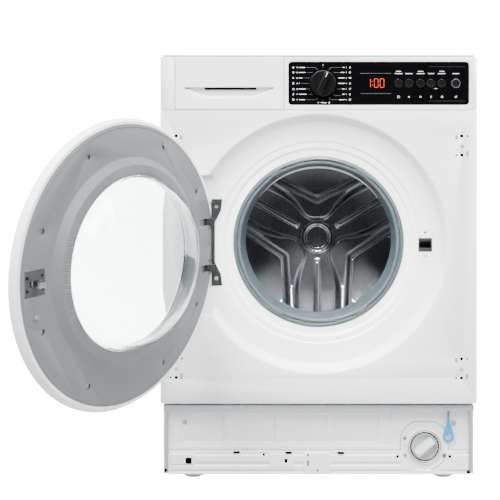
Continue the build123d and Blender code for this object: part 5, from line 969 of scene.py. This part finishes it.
def opened(points, faces, keep):
    """A set of points and faces without the faces whose centre fails keep(x, depth, z)."""
    centres = np.array([points[face].mean(0) if len(face) < 9 else points[face[:1]].mean(0)
                        for face in faces])
    held = keep(*centres.T)
    return points, [face for face, stays in zip(faces, held) if stays and len(face) < 9]


plinth_points, plinth_faces = slab(
    lines(-286.5, 286.5, 1.6, -281.0, 141.0, *[v for p in PLINTH_PANELS for v in p[:2]]),
    lines(64.2, 149.6, 1.3, 69.6, 76.8, 130.5, 141.5), plinth_depth, 31.9)
piece("plinth_plate_pressing",
      *opened(plinth_points, plinth_faces, lambda x, y, z: np.hypot(x - FILTER_X, z - FILTER_Z) > 43.2),
      enamel, "root", "white_enamel", angle=50)

# %% [markdown]
# Below it the base is a folded bar with two long sunk ribs. Its ribs stop at raised tabs, where slots
# take the clips of the plinth board.

# %% Front of the base
TABS = [(-95.0, -47.0, 34.0, 60.0), (-28.0, 22.0, 22.0, 62.0), (-283.0, -236.0, 40.0, 60.0)]


def base_depth(x, z):
    """Depth of the base's front: two sunk ribs and the lower fold, flat again at each tab."""
    flat = np.zeros_like(x)
    for tab in TABS:
        flat = np.maximum(flat, smooth_step(-2.5, 1.5, box_distance(x, z, tab, 4.0)))
    near_filter = smooth_step(62.0, 50.0, np.hypot(x - FILTER_X, z - FILTER_Z))
    left_end = smooth_step(-284, -279, x)
    upper = smooth_step(1.6, -1.6, np.abs(z - 41.0) - 3.0) * left_end * smooth_step(160, 152, x)
    lower = smooth_step(1.4, -1.4, np.abs(z - 27.0) - 1.4) * left_end
    top = smooth_step(56.2, 58.6, z)
    sunk = 3.2 * np.maximum(upper, lower) + 2.0 * top
    return 20.6 + sunk * (1.0 - flat) * (1.0 - near_filter) - 0.7 * flat * smooth_step(0.0, 1.0, flat)


base_points, base_faces = slab(lines(-286.5, 286.5, 1.6, *[v for tab in TABS for v in tab[:2]]),
                               lines(21.3, 63.4, 0.9, 57.4), base_depth, 23.9)
piece("base_front_pressing",
      *opened(base_points, base_faces, lambda x, y, z: np.hypot(x - FILTER_X, z - FILTER_Z) > 43.2),
      enamel, "root", "white_enamel", angle=50)


EYE_X, EYE_Z, EYE_DISTANCE = -12.4, 654.05, 1312.0


def at_depth(pixels, depth):
    """Photograph pixels as (x, height) on a plane that many millimetres into the machine."""
    flat = on_panel(pixels)
    scale = 1.0 + depth / EYE_DISTANCE
    return np.stack([EYE_X + (flat[..., 0] - EYE_X) * scale, EYE_Z + (flat[..., 1] - EYE_Z) * scale], -1)


def dark_slots(places, depth):
    """Punched slots seen from the front, not cut: tiles with (x, y, width, height) in pixels, in a finish
    that paints the shade inside them.
    """
    made = []
    for x, y, w, h in places:
        centre = at_depth(np.array([x, y]), depth)
        half = (w / 2.0 / PHOTO_SCALE, h / 2.0 / PHOTO_SCALE)
        made.append(plate(centre, half, min(half) * 0.35, [(depth + 0.6, 0.0), (depth, 0.0)], steps=3))
    return joined(*made)


def dark_holes(places, depth):
    """Punched round holes, not cut: discs with (x, height, radius), all in millimetres, laid on the sheet; in
    black they paint the shade inside them.
    """
    return joined(*[turned([(0.0, depth), (r, depth), (r, depth + 0.5), (0.0, depth + 0.5)], (x, z), 20,
                           False) for x, z, r in places])


SLOT_DEPTH = 19.6
# Black tiles and discs paint the shade inside the base bar's punched slots and round holes.
slots = dark_slots([(236.5, 452.4, 6.8, 2.3), (288.6, 452.8, 6.8, 2.3), (340.7, 453.0, 6.8, 2.3),
                    (188.6, 460.8, 6.2, 6.2), (286.0, 460.8, 2.8, 4.0), (308.0, 463.3, 1.6, 5.2)], SLOT_DEPTH)
pins = [(*at_depth(np.array(p), SLOT_DEPTH), r) for p, r in (
    ((263.8, 454.7), 2.3), ((308.0, 455.2), 2.0), ((317.6, 470.4), 1.9), ((397.5, 456.5), 2.5),
    ((449.8, 456.5), 2.5), ((468.4, 472.4), 3.4), ((165.4, 470.4), 3.0))]
rear_pins = [(*at_depth(np.array(p), SLOT_DEPTH), r)
             for p, r in (((170.2, 461.4), 1.2), ((463.6, 463.8), 1.2))]
piece("base_slot_shades", *joined(slots, dark_holes(pins, SLOT_DEPTH)), painted_shade_black, "root", "black_plastic",
      angle=40)
piece("base_dimples", *dark_holes(rear_pins, 19.7), grey_pp, "root", "grey_plastic", angle=40)

CLIP_PLACES = [(x, 66.4) for x in (-141.3, -20.1, 95.3)]
clip_outline = rounded([(0.0, 28.7), (2.2, 28.9), (3.4, 29.6), (3.6, 31.2), (0.0, 31.2)],
                       [0, .6, .6, .2, 0], 4, False)
clips = [turned(clip_outline, place, 24, False) for place in CLIP_PLACES]
clips += [turned([(0.9, 28.6), (1.3, 28.45), (1.7, 28.8)], place, 24, False) for place in CLIP_PLACES]
piece("plinth_clips", *joined(*clips), abs_white, "root", "white_plastic", angle=45)
seats = [turned([(3.3, 30.7), (4.7, 30.7), (4.7, 31.1), (3.3, 31.1)], place, 32) for place in CLIP_PLACES]
piece("plinth_clip_seats", *joined(*seats), grey_pp, "root", "grey_plastic", angle=45)

# %% [markdown]
# The drain filter sits in a moulded surround with a flat top and a round foot. Its outline is a
# superellipse above the axis and a circle below. Inside stand two thin rings and the cap, a shallow
# cup with a tapered grip across it.

# %% Drain filter


def surround_ring(reach, depth, count=160):
    """The surround's outline: |x|^n + |z|^n = r^n with n from 2 below to 3.2 above the axis."""
    a = np.linspace(0.0, 2.0 * math.pi, count, endpoint=False)
    power = 2.0 + 1.2 * smooth_step(0.0, 0.8, np.sin(a))
    radius = reach / (np.abs(np.cos(a)) ** power + np.abs(np.sin(a)) ** power) ** (1.0 / power)
    radius = np.where(np.sin(a) > 0, np.minimum(radius, (reach - 0.8) / np.maximum(np.sin(a), 1e-6)), radius)
    radius = np.minimum(radius, reach * (1.0 + 0.08 * smooth_step(0.0, 0.5, np.sin(a))))
    return np.stack([FILTER_X + radius * np.cos(a), np.full_like(a, depth),
                     FILTER_Z + radius * np.sin(a)], -1)


levels = [(45.6, 30.6), (45.6, 27.4), (45.2, 26.5), (44.2, 26.1), (43.0, 26.4), (42.2, 27.0), (34.2, 27.0),
          (33.4, 26.6), (33.2, 24.9), (32.4, 24.3), (31.6, 24.7), (31.4, 28.6), (30.0, 28.6), (29.8, 25.2),
          (29.2, 24.7), (28.5, 25.1), (28.3, 29.0)]
surround = np.stack([surround_ring(r, d) if r > 34.0 else turned([(r, d)], (FILTER_X, FILTER_Z), 160)[0][:, 0]
                     for r, d in levels])
# A grey ring just outside the surround paints the shade line along the edge of its recess.
surround_shade_line = np.stack([surround_ring(r, d)
                     for r, d in ((45.3, 31.1), (45.3, 30.7), (46.9, 30.7), (46.9, 31.1))])
piece("filter_surround_shade_line", surround_shade_line, quads(4, 160, True, True), grey_pp, "root", "grey_plastic", angle=60)
piece("filter_surround", surround, quads(len(levels), 160, False, True), abs_white, "root",
      "white_plastic", angle=42)
cap_outline = rounded([(0.0, 33.4), (17.5, 33.0), (22.3, 30.8), (23.6, 25.0), (24.4, 24.3), (25.2, 25.0),
                       (25.2, 26.6), (24.8, 26.8), (24.8, 38.0), (0.0, 38.0)],
                      [0, 3.0, 2.0, 0.6, 0.5, 0.6, 0.2, 0.2, 0.2, 0], 6, False)
GRIP_TURN = math.radians(40.0)
filter_grip = plate((FILTER_X, FILTER_Z), (20.8, 5.9), 1.6,
                    [(34.0, -1.6), (31.0, -0.6), (26.0, 0.0), (18.6, 0.5), (17.2, 0.8), (16.6, 1.4),
                     (16.3, 2.4)], GRIP_TURN)
grip_notch = plate((FILTER_X, FILTER_Z), (0.5, 5.6), 0.2, [(16.6, 0.0), (16.1, 0.2)], GRIP_TURN, 3)
# The cap is drawn in a darker grey than its grip: painted shade inside its deep cup.
piece("filter_cap_moulding", *turned(cap_outline, (FILTER_X, FILTER_Z), 96, False),
      skin("filter_cap_painted_shade_grey", ("#b6b9bb", "#acafb1"), (0.4, 0.52), 0.9, 0.02), "filter",
      "white_plastic", ("filter_cap",), angle=40)
piece("filter_cap_grip", *joined(filter_grip, grip_notch),
      skin("pale_grey_filter_polypropylene", ("#e3e5e6", "#d9dbdc"), (0.4, 0.52), 0.9, 0.02), "filter",
      "white_plastic", angle=40)
screw_outline = rounded([(0.0, 25.7), (2.4, 25.6), (3.9, 26.1), (4.2, 27.1), (0.0, 27.1)],
                        [0, .5, .6, .2, 0], 4, False)
filter_screws = []
for x, z in ((-37.8, 15.6), (-37.8, -17.4), (37.2, -17.4)):
    filter_screws.append(turned(screw_outline, (FILTER_X + x, FILTER_Z + z), 24, False))
    for turn in (0.4, 0.4 + math.pi / 2.0):
        filter_screws.append(plate((FILTER_X + x, FILTER_Z + z), (2.1, 0.42), 0.1,
                                   [(25.8, 0.0), (25.54, 0.0)], turn, 3))
piece("filter_screws", *joined(*filter_screws[0::3]), zinc_bright, "root", "steel", angle=40)
# Black tiles paint the shade in the screws' cross slots, and a black disc the shade in a small hole.
piece("filter_screw_slot_shades", *joined(*filter_screws[1::3], *filter_screws[2::3],
                                    dark_holes([(FILTER_X - 36.2, FILTER_Z + 0.6, 1.3)], 26.8)),
      nylon_black, "root", "black_plastic", angle=40)

# Between the rings and round the cap the housing lies deep in shadow.
shadow_rings = [turned([(inner, 26.0), (outer, 26.0), (outer, 26.15), (inner, 26.15)],
                       (FILTER_X, FILTER_Z), 96) for inner, outer in ((24.9, 28.4), (29.9, 31.5))]
piece("filter_shadow_gaps", *joined(*shadow_rings), painted_shade_black, "root", "black_plastic", angle=60)

# %% [markdown]
# The blue pull hangs from the lock above. Its flat strap widens into a ring for a finger, along a
# curve that meets the ring as a tangent: half width = w + (r - w) s(t), with s the smooth step.

# %% Release pull
PULL_X, PULL_Z, PULL_Y = 248.8, 90.6, 25.0
climb = np.linspace(0.0, 1.0, 60)
strap_z = PULL_Z + 2.0 + climb * 118.0
strap_half = 2.3 + (9.6 - 2.3) * (1.0 - smooth_step(0.0, 0.30, climb)) ** 1.5


def pull_ring():
    """The ring: its section, a rounded rectangle, carried round the hole."""
    section = rounded([(5.8, -1.1), (10.8, -1.1), (10.8, 1.1), (5.8, 1.1)], 0.8, 4)
    points, faces = turned(section, (PULL_X, PULL_Z), 72)
    return points + (0.0, PULL_Y, 0.0), faces


def pull_strap():
    """The strap: a rounded section at each height, as wide as the curve says, above the ring's hole."""
    section = rounded([(-1.0, -1.0), (1.0, -1.0), (1.0, 1.0), (-1.0, 1.0)], [0.35] * 4, 4)
    start = np.maximum(strap_z, PULL_Z + 5.6)
    points = np.stack([PULL_X + section[None, :, 0] * strap_half[:, None],
                       np.broadcast_to(PULL_Y + 1.05 * section[None, :, 1], (60, len(section))),
                       np.broadcast_to(start[:, None], (60, len(section)))], -1)
    count = len(section)
    return points, quads(60, count, False, True).tolist() + [list(range(count)),
                                                             list(range(59 * count, 60 * count))]


piece("release_pull_ring", *joined(pull_ring(), pull_strap()), pull_pe, "pull", "pale_blue_plastic",
      ("emergency_pull",), angle=40)

# %% [markdown]
# Furniture door hinges screw to the four corners of the front. Each corner has two large holes with a
# steel plug between them, and small holes and short slots beside them.

# %% Furniture fixings
plug_outline = rounded([(0.0, -0.6), (2.6, -0.6), (4.0, -0.1), (4.2, 0.3), (0.0, 0.3)],
                       [0, .4, .3, .1, 0], 4, False)
# Each corner's upper large hole in the photograph's pixels, and which way round its group stands.
CORNERS = [(461.8, 136.0, 1.0), (461.5, 358.9, 1.0), (176.1, 135.9, -1.0)]
corner_holes, plugs = [], []
for x, y, side in CORNERS:
    corner_holes += [((x, y), 3.0), ((x + 5.8 * side, y), 1.9), ((x - 5.4 * side, y + 19.3), 1.9),
                     ((x, y + 19.1), 3.0)]
corner_holes += [((176.2, 377.5), 3.0), ((170.6, 377.5), 1.9), ((182.0, 358.4), 1.9)]
punched = [(*at_depth(np.array(p), 0.0), r) for p, r in corner_holes]
punched_slots = dark_slots([(x - 5.2 * side, y + 1.5, 2.6, 4.6) for x, y, side in CORNERS]
                           + [(x + 5.5 * side, y + 17.8, 2.6, 5.4) for x, y, side in CORNERS]
                           + [(181.4, 376.3, 2.6, 6.2)], -0.12)
for x, y in ((462.0, 146.2), (461.7, 369.6), (176.2, 146.2), (176.3, 369.1)):
    plugs.append(turned(plug_outline, at_depth(np.array([x, y]), 0.0), 24, False))
# Black discs paint the shade inside the front's punched holes; grey tiles paint the paler shade inside its
# short slots.
piece("fixing_hole_shades", *joined(dark_holes(punched, -0.12), dark_holes([(203.4, 483.2, 2.0)], 20.3)),
      painted_shade_black, "root", "black_plastic", angle=40)
piece("fixing_slot_shades", *punched_slots, grey_pp, "root", "grey_plastic", angle=40)
dish_screw = turned([(0.0, 19.3), (2.8, 19.4), (3.7, 20.4), (0.0, 20.4)], (204.1, 438.5), 24, False)
piece("fixing_plugs", *joined(*plugs, dish_screw), zinc, "root", "steel", angle=40)
covers = [plate((-219.2, z), (18.7, 25.8), 1.0, [(22.4, 0.0), (20.8, 0.0), (20.5, 0.3)])
          for z in (567.2, 353.2)]
piece("hinge_pocket_covers", *joined(*covers), enamel, "root", "white_enamel", angle=40)

# %% [markdown]
# The bowl is one solid of revolution whose upper side is cut by a slope, so that laundry slides off it
# into the drum. Its section goes round the outside, over the clamped flange and back along the inside.
# The slope is a plane, and a smooth minimum, -k ln(e^(-a/k) + e^(-b/k)), melts it into the wall.

# %% Glass bowl
bowl_section = [(0.0, 66.0), (116.0, 66.0), (131.0, 53.0), (140.4, 26.0), (140.7, 14.8), (149.6, 14.6),
                (149.6, 10.6), (137.6, 10.6), (136.4, 25.0), (127.0, 51.0), (113.5, 62.0), (0.0, 62.0)]
bowl_outline = rounded(bowl_section, [0.0, 16.0, 22.0, 8.0, 1.2, 0.8, 0.8, 3.0, 8.0, 20.0, 14.0, 0.0],
                       8, False)
lengths = np.linalg.norm(np.diff(bowl_outline, axis=0), axis=1)
dense = [bowl_outline[:1]]
for start, stop, long in zip(bowl_outline[:-1], bowl_outline[1:], lengths):
    share = np.linspace(0.0, 1.0, max(2, int(math.ceil(long / 5.0)) + 1))[1:, None]
    dense.append(start + share * (stop - start))
bowl_outline = np.vstack(dense)
bowl, bowl_faces = turned(bowl_outline, (0.0, 0.0), 192, False)
inner_from = int(np.argmin(np.abs(bowl_outline[:, 0] - 149.6) + np.abs(bowl_outline[:, 1] - 10.6)))
wall_drop = np.where(np.arange(len(bowl_outline)) > inner_from, 4.9, 0.0)
slope = 25.0 + (137.0 - bowl[..., 2]) * 41.0 / 58.0 - wall_drop
k = 1.6
least = np.minimum(bowl[..., 1], slope)
soft = least - k * np.log(np.exp(-(bowl[..., 1] - least) / k) + np.exp(-(slope - least) / k))
bowl[..., 1] = np.where(bowl[..., 1] > 16.0, np.maximum(soft, 12.0), bowl[..., 1])
bowl[..., 2] += DOOR_Z
piece("door_glass_bowl", on_door(bowl), bowl_faces, pressed_glass, "door", "bowl_glass", ("door_bowl",),
      angle=80)
window_outline = rounded([(0.0, 0.4), (80.0, 0.9), (145.0, 2.2), (145.3, 4.5), (149.8, 4.6),
                          (149.8, 7.4), (80.0, 6.6), (0.0, 6.2)],
                         [0, 30.0, 0.8, 0.3, 0.3, 0.4, 30.0, 0], 6, False)
window, window_faces = turned(window_outline, (0.0, DOOR_Z), 144, False)
piece("door_outer_window", on_door(window), window_faces, clear_pc, "door", "window_plastic",
      ("door_window",), angle=60)

# %% [markdown]
# On the grey ring, a row of short drip ridges beside the glass leads water back into the gasket, a
# small boss marks where the door meets the lock's guide, and a thin raised line runs round the edge.
# A flat dark ring round each screw stands for the shadow of the recess that the screw sits in.

# %% Small forms on the door's ring
ridges = []
for height in np.linspace(-50.0, 58.0, 28):
    reach = math.sqrt(141.3 ** 2 - height ** 2)
    ridge = plate((reach + 7.6, DOOR_Z + height), (5.6, 1.0), 0.9, pillow(25.9, 24.4, 0.8, 4), 0.0, 4)
    ridges.append((on_door(ridge[0]), ridge[1]))
boss_outline = rounded([(0.0, 20.0), (2.6, 19.7), (4.5, 17.4), (4.5, 16.4), (0.0, 16.4)],
                       [0, 1.2, 0.8, 0.1, 0], 5, False)
boss = turned(boss_outline, (196.7, DOOR_Z - 49.2), 28, False)
rim_line = turned(rounded([(218.6, 16.6), (219.4, 17.5), (220.4, 17.5), (221.2, 16.6)], 0.3, 3),
                  (0.0, DOOR_Z), 240)
rim_points, rim_faces = opened(rim_line[0].reshape(-1, 3), rim_line[1].tolist(), lambda x, y, z: x > -216.0)
SCREW_RING = 199.0
screw_angles = np.radians([20.6, 60.0, 112.0, 148.5, -20.6, -60.0, -112.0, -148.5])
recesses = [turned([(3.7, 16.3), (3.7, 16.75), (6.0, 16.75), (6.2, 16.3)], (x, z), 32)
            for x, z in zip(SCREW_RING * np.cos(screw_angles), DOOR_Z + SCREW_RING * np.sin(screw_angles))]
# Dark rings paint the shadow in each screw's recess.
piece("door_screw_recess_shadows", *joined(*[(on_door(points), faces) for points, faces in recesses]),
      painted_shade_black, "door", "grey_door_plastic", angle=45)
piece("door_ring_details", *joined(*ridges, (on_door(boss[0]), boss[1]), (on_door(rim_points), rim_faces)),
      ring_grey, "door", "grey_door_plastic", angle=45)

# %% [markdown]
# Two coil springs carry the tub. A coil is a circle carried along a helix: the centre line is
# (r cos t, r sin t, p t), and the wire's circle stands across it. The coils open and close as the tub
# rides; the springs stay where they are drawn, tied to neither the cabinet nor the tub.

# %% Pipes along a line


def pipe(line, radius, sides=12, capped=True):
    """A tube of a radius, or a radius for each point, along a line, with a frame carried without
    twist: each across vector is the last one less its part along the new direction."""
    line = np.asarray(line, float)
    along = np.gradient(line, axis=0)
    along /= np.linalg.norm(along, axis=1)[:, None]
    across = np.cross(along[0], (0.31, 0.42, 0.85))
    frames = []
    for direction in along:
        across = across - direction * np.dot(across, direction)
        across = across / np.linalg.norm(across)
        frames.append(across)
    first = np.array(frames)
    second = np.cross(along, first)
    a = np.linspace(0.0, 2.0 * math.pi, sides, endpoint=False)
    radius = np.broadcast_to(radius, len(line))[:, None, None]
    points = line[:, None] + radius * (np.cos(a)[None, :, None] * first[:, None]
                                       + np.sin(a)[None, :, None] * second[:, None])
    faces = quads(len(line), sides, False, True).tolist()
    if capped:
        faces += [list(range(sides)), list(range((len(line) - 1) * sides, len(line) * sides))]
    return points.reshape(-1, 3), faces


def spring(x, y, low, high, radius=9.2, wire=1.5, turns=24):
    """A coil with a straight hook at each end, as one wire."""
    t = np.linspace(0.0, turns * 2.0 * math.pi, turns * 14)
    body = np.stack([x + radius * np.cos(t), y + radius * np.sin(t),
                     low + 14.0 + (high - low - 28.0) * t / t[-1]], -1)
    lead = np.linspace(0.0, 1.0, 8)[:-1, None]
    foot, head = np.array([x, y, low]), np.array([x, y, high])
    bottom = foot + lead * (body[0] - foot)
    top = body[-1] + (1.0 - lead[::-1]) * (head - body[-1])
    return pipe(np.vstack([bottom, body, top]), wire, 8)


coils = joined(spring(-222.0, 285.0, 600.5, 795.5), spring(222.0, 285.0, 600.5, 795.5))
piece("tub_springs", *coils, zinc_bright, "root", "steel", ("suspension_springs",), angle=60,
      between=((0.0, 285.0, 780.0), (0.0, 285.0, 615.0)))

# %% [markdown]
# The hoses inside are moulded rubber, fixed at both ends. Each follows its route with rounded bends.
# The long one to the drain outlet is ribbed, a radius that follows a sine of its length, and the
# ends are smooth cuffs under steel clips.

# %% Hoses


def route(corners, bend, step=3.0):
    """A line through corners with rounded bends, in even steps."""
    path_points = rounded(np.asarray(corners, float), bend, 14, False)
    gone = np.concatenate([[0.0], np.cumsum(np.linalg.norm(np.diff(path_points, axis=0), axis=1))])
    even = np.linspace(0.0, gone[-1], max(4, int(gone[-1] / step)))
    return np.stack([np.interp(even, gone, path_points[:, i]) for i in range(3)], -1)


def ribbed(line, radius, rib, pitch, cuff=34.0):
    """A radius for each point: r + rib sin^2(pi s / pitch), but plain within the end cuffs."""
    s = np.concatenate([[0.0], np.cumsum(np.linalg.norm(np.diff(line, axis=0), axis=1))])
    plain = smooth_step(cuff - 4.0, cuff + 4.0, s) * smooth_step(cuff - 4.0, cuff + 4.0, s[-1] - s)
    return radius - rib * plain * np.cos(math.pi * s / pitch) ** 2


fill_line = route([(-167.8, 240.0, 731.5), (-167.8, 240.0, 700.0), (-167.8, 240.0, 671.2)], 5.0, 2.0)
drain_line = route([(61.5, 109.5, 187.8), (203.4, 109.5, 187.8), (203.4, 109.5, 119.0)], 40.0)
waste_line = route([(164.0, 177.5, 71.8), (134.0, 177.5, 71.8), (134.0, 245.0, 71.8),
                    (-274.0, 245.0, 60.0), (-274.0, 430.0, 60.0), (-274.0, 430.0, 700.0),
                    (-180.0, 430.0, 700.0), (-180.0, 496.0, 700.0)],
                   [1, 20, 20, 20, 20, 20, 20, 1], 2.0)
supply_line = route([(190.0, 468.0, 742.0), (190.0, 420.0, 742.0), (190.0, 420.0, 786.0),
                     (-167.8, 420.0, 786.0), (-167.8, 262.0, 786.0)], 20.0, 4.0)
piece("pump_to_outlet_hose", *pipe(waste_line, ribbed(waste_line, 14.0, 1.7, 8.0), 20), hose_epdm, "root",
      "black_rubber", ("hoses",), angle=70)
piece("supply_hose", *pipe(supply_line, 6.0, 16), hose_epdm, "root", "black_rubber", angle=60)
piece("filling_hose", *pipe(fill_line, ribbed(fill_line, 14.0, 1.6, 9.0, 14.0), 24), hose_epdm, "root",
      "black_rubber", angle=70, between=((-167.8, 240.0, 722.0), (-167.8, 240.0, 680.0)))
piece("sump_hose", *pipe(drain_line, ribbed(drain_line, 14.0, 1.7, 9.0, 24.0), 24), hose_epdm, "root",
      "black_rubber", angle=70, between=((203.4, 109.5, 150.0), (80.0, 109.5, 187.8)))
clip_bands = joined(*[pipe(line[where], 14.7, 28) for line, where in (
    (waste_line, slice(3, 8)), (waste_line, slice(-9, -4)), (fill_line, slice(1, 5)))])
piece("hose_clips", *clip_bands, zinc_bright, "root", "steel", angle=60)

# %% [markdown]
# The belt runs over the large pulley and the motor's small one. Its line is two arcs joined by the two
# outer tangents, which leave the circles at the angle b with cos b = (R - r) / d. Its inner face has
# small V ribs along its whole length.

# %% Drive belt
BIG, SMALL, MOTOR = 146.6, 12.2, np.array([150.0, -300.0])
towards = math.atan2(MOTOR[1], MOTOR[0])
open_half = math.acos((BIG - SMALL) / float(np.linalg.norm(MOTOR)))
long_way = np.linspace(towards + open_half, towards + 2.0 * math.pi - open_half, 150)
short_way = np.linspace(towards - open_half, towards + open_half, 24)
belt_line = np.vstack([np.stack([BIG * np.cos(long_way), BIG * np.sin(long_way)], -1),
                       MOTOR + np.stack([SMALL * np.cos(short_way), SMALL * np.sin(short_way)], -1)])
ahead = np.roll(belt_line, -1, axis=0) - np.roll(belt_line, 1, axis=0)
outward = np.stack([ahead[:, 1], -ahead[:, 0]], -1) / np.linalg.norm(ahead, axis=1)[:, None]
belt_x = np.linspace(-5.6, 5.6, 25)
ribs = -1.3 + 0.55 * np.abs(((belt_x / 2.24) % 1.0) * 2.0 - 1.0)
belt_section = np.vstack([np.stack([belt_x, ribs], -1),
                          [(6.0, -0.4), (6.0, 1.0), (5.6, 1.3), (-5.6, 1.3), (-6.0, 1.0), (-6.0, -0.4)]])
rim = belt_line[:, None] + belt_section[None, :, 1:] * outward[:, None]
BELT_DEPTH = 375.0
belt = np.stack([rim[..., 0], BELT_DEPTH + np.broadcast_to(belt_section[None, :, 0], rim.shape[:2]),
                 rim[..., 1]], -1)
piece("belt_ribbed", in_tub(belt), quads(len(belt_line), len(belt_section), True, True), hose_epdm, "tub",
      "black_rubber", ("drive_belt",), angle=50)

# %% [markdown]
# The floor is pale and plain, and curves up into a wall far behind, so that no line crosses the
# picture. Large soft lamps stand where a studio's would: one high at the left, a weaker one at the
# right and a wide one overhead. A fourth, small and narrow, is aimed into the drum's mouth. A pale room
# fills the shadows, and is darker ahead of the machine, where the glossy black panel mirrors it. The
# paper glows only where it is seen directly or through glass, so its glow lights nothing.

# %% Floor, room and lamps


def backdrop():
    """A floor that rises into a wall: a profile of floor, quarter circle and wall, carried along X."""
    bend = np.linspace(0.0, math.pi / 2.0, 24)
    depth = np.concatenate([[-4.0], 3.0 + 1.5 * np.sin(bend), [4.5]])
    height = np.concatenate([[0.0], 1.5 - 1.5 * np.cos(bend), [7.0]])
    across = np.array([-7.0, 7.0])
    points = np.stack(np.broadcast_arrays(across[:, None], depth[None, :], height[None, :]), -1)
    mesh = bpy.data.meshes.new("backdrop")
    mesh.from_pydata(points.reshape(-1, 3).tolist(), [], quads(2, len(depth)).tolist())
    mesh.shade_smooth()
    made = bpy.data.objects.new("backdrop", mesh)
    bpy.context.scene.collection.objects.link(made)
    return made


paper = skin("studio_paper", ("#a2a2a3", "#9f9fa0"), (0.9, 1.0), 8.0, 0.01, patch=900.0, specular=0.1)
seen = add(paper.node_tree, "LightPath")
straight = add(paper.node_tree, "Math", {"operation": "MAXIMUM"}, {0: seen.outputs["Is Camera Ray"],
                                                                  1: seen.outputs["Is Transmission Ray"]})
PAPER_GLOW = 20.0
paper_glow = add(paper.node_tree, "Math", {"operation": "MULTIPLY", 1: PAPER_GLOW}, {0: straight.outputs[0]})
paper_shader = paper.node_tree.nodes["Principled BSDF"]
paper_shader.inputs["Emission Color"].default_value = tone("#ffffff")
paper.node_tree.links.new(paper_glow.outputs[0], paper_shader.inputs["Emission Strength"])
studio_floor = backdrop()
studio_floor.data.materials.append(paper)

room = bpy.data.worlds.new("studio_room")
bpy.context.scene.world = room
room.use_nodes = True
room_tree = room.node_tree
room_tree.nodes.clear()
looking = add(room_tree, "TexCoord")
aim = add(room_tree, "SeparateXYZ", {}, {0: looking.outputs["Generated"]})
to_front = add(room_tree, "Math", {"operation": "MULTIPLY", 1: -1.0}, {0: aim.outputs["Y"]})
level = add(room_tree, "MapRange", {"interpolation_type": "SMOOTHSTEP", "From Min": 0.55, "From Max": 0.93,
                                    "To Min": 0.75, "To Max": 0.05}, {"Value": to_front.outputs[0]})
height_share = add(room_tree, "MapRange", {"interpolation_type": "SMOOTHSTEP", "From Min": -0.25,
                                           "From Max": 0.6, "To Min": 0.25, "To Max": 1.0},
                   {"Value": aim.outputs["Z"]})
both = add(room_tree, "Math", {"operation": "MULTIPLY"},
           {0: level.outputs["Result"], 1: height_share.outputs["Result"]})
sky = add(room_tree, "Background", {"Color": tone("#f6f8fb")}, {"Strength": both.outputs[0]})
add(room_tree, "OutputWorld", {}, {"Surface": sky.outputs[0]})


def lamp(name, place, target, size, power):
    """A soft rectangular lamp that faces a point."""
    light = bpy.data.lights.new(name, "AREA")
    light.shape = "RECTANGLE"
    light.size, light.size_y = size
    light.energy = power
    made = bpy.data.objects.new(name, light)
    bpy.context.scene.collection.objects.link(made)
    made.location = place
    away = np.array(target, float) - np.array(place, float)
    made.rotation_euler = Vector(away).to_track_quat("-Z", "Y").to_euler()
    return made


lamp("key_lamp", (-1.5, -2.3, 2.9), (0.0, -0.2, 0.45), (1.6, 1.2), 210.0)
lamp("fill_lamp", (2.1, -2.2, 2.1), (0.0, -0.2, 0.4), (1.4, 1.4), 92.0)
lamp("top_lamp", (0.0, -0.95, 3.0), (0.0, -0.25, 0.5), (2.4, 1.2), 340.0)
drum_lamp = lamp("drum_lamp", (0.0, -1.7, 1.45), (0.0, -0.25, 0.46), (0.3, 0.2), 1.6)
drum_lamp.data.spread = math.radians(12.0)

# %% [markdown]
# The view is level, from 1.3 m in front of the machine and four fifths of the way up its height.
# The lens is shifted rather than tilted, which keeps the upright edges upright.

# %% Camera
CAMERA_PLACE = tuple(to_frame((EYE_X, -EYE_DISTANCE, EYE_Z)).tolist())
eye = bpy.data.cameras.new("camera")
eye.sensor_width = 36.0
eye.lens = 50.26
eye.shift_x = -0.124
eye.shift_y = -0.2144
eye.clip_end = 60.0
camera = bpy.data.objects.new("camera", eye)
bpy.context.scene.collection.objects.link(camera)
camera.location = CAMERA_PLACE
camera.rotation_euler = (math.pi / 2.0, 0.0, 0.0)
bpy.context.scene.camera = camera
print("camera at", CAMERA_PLACE)
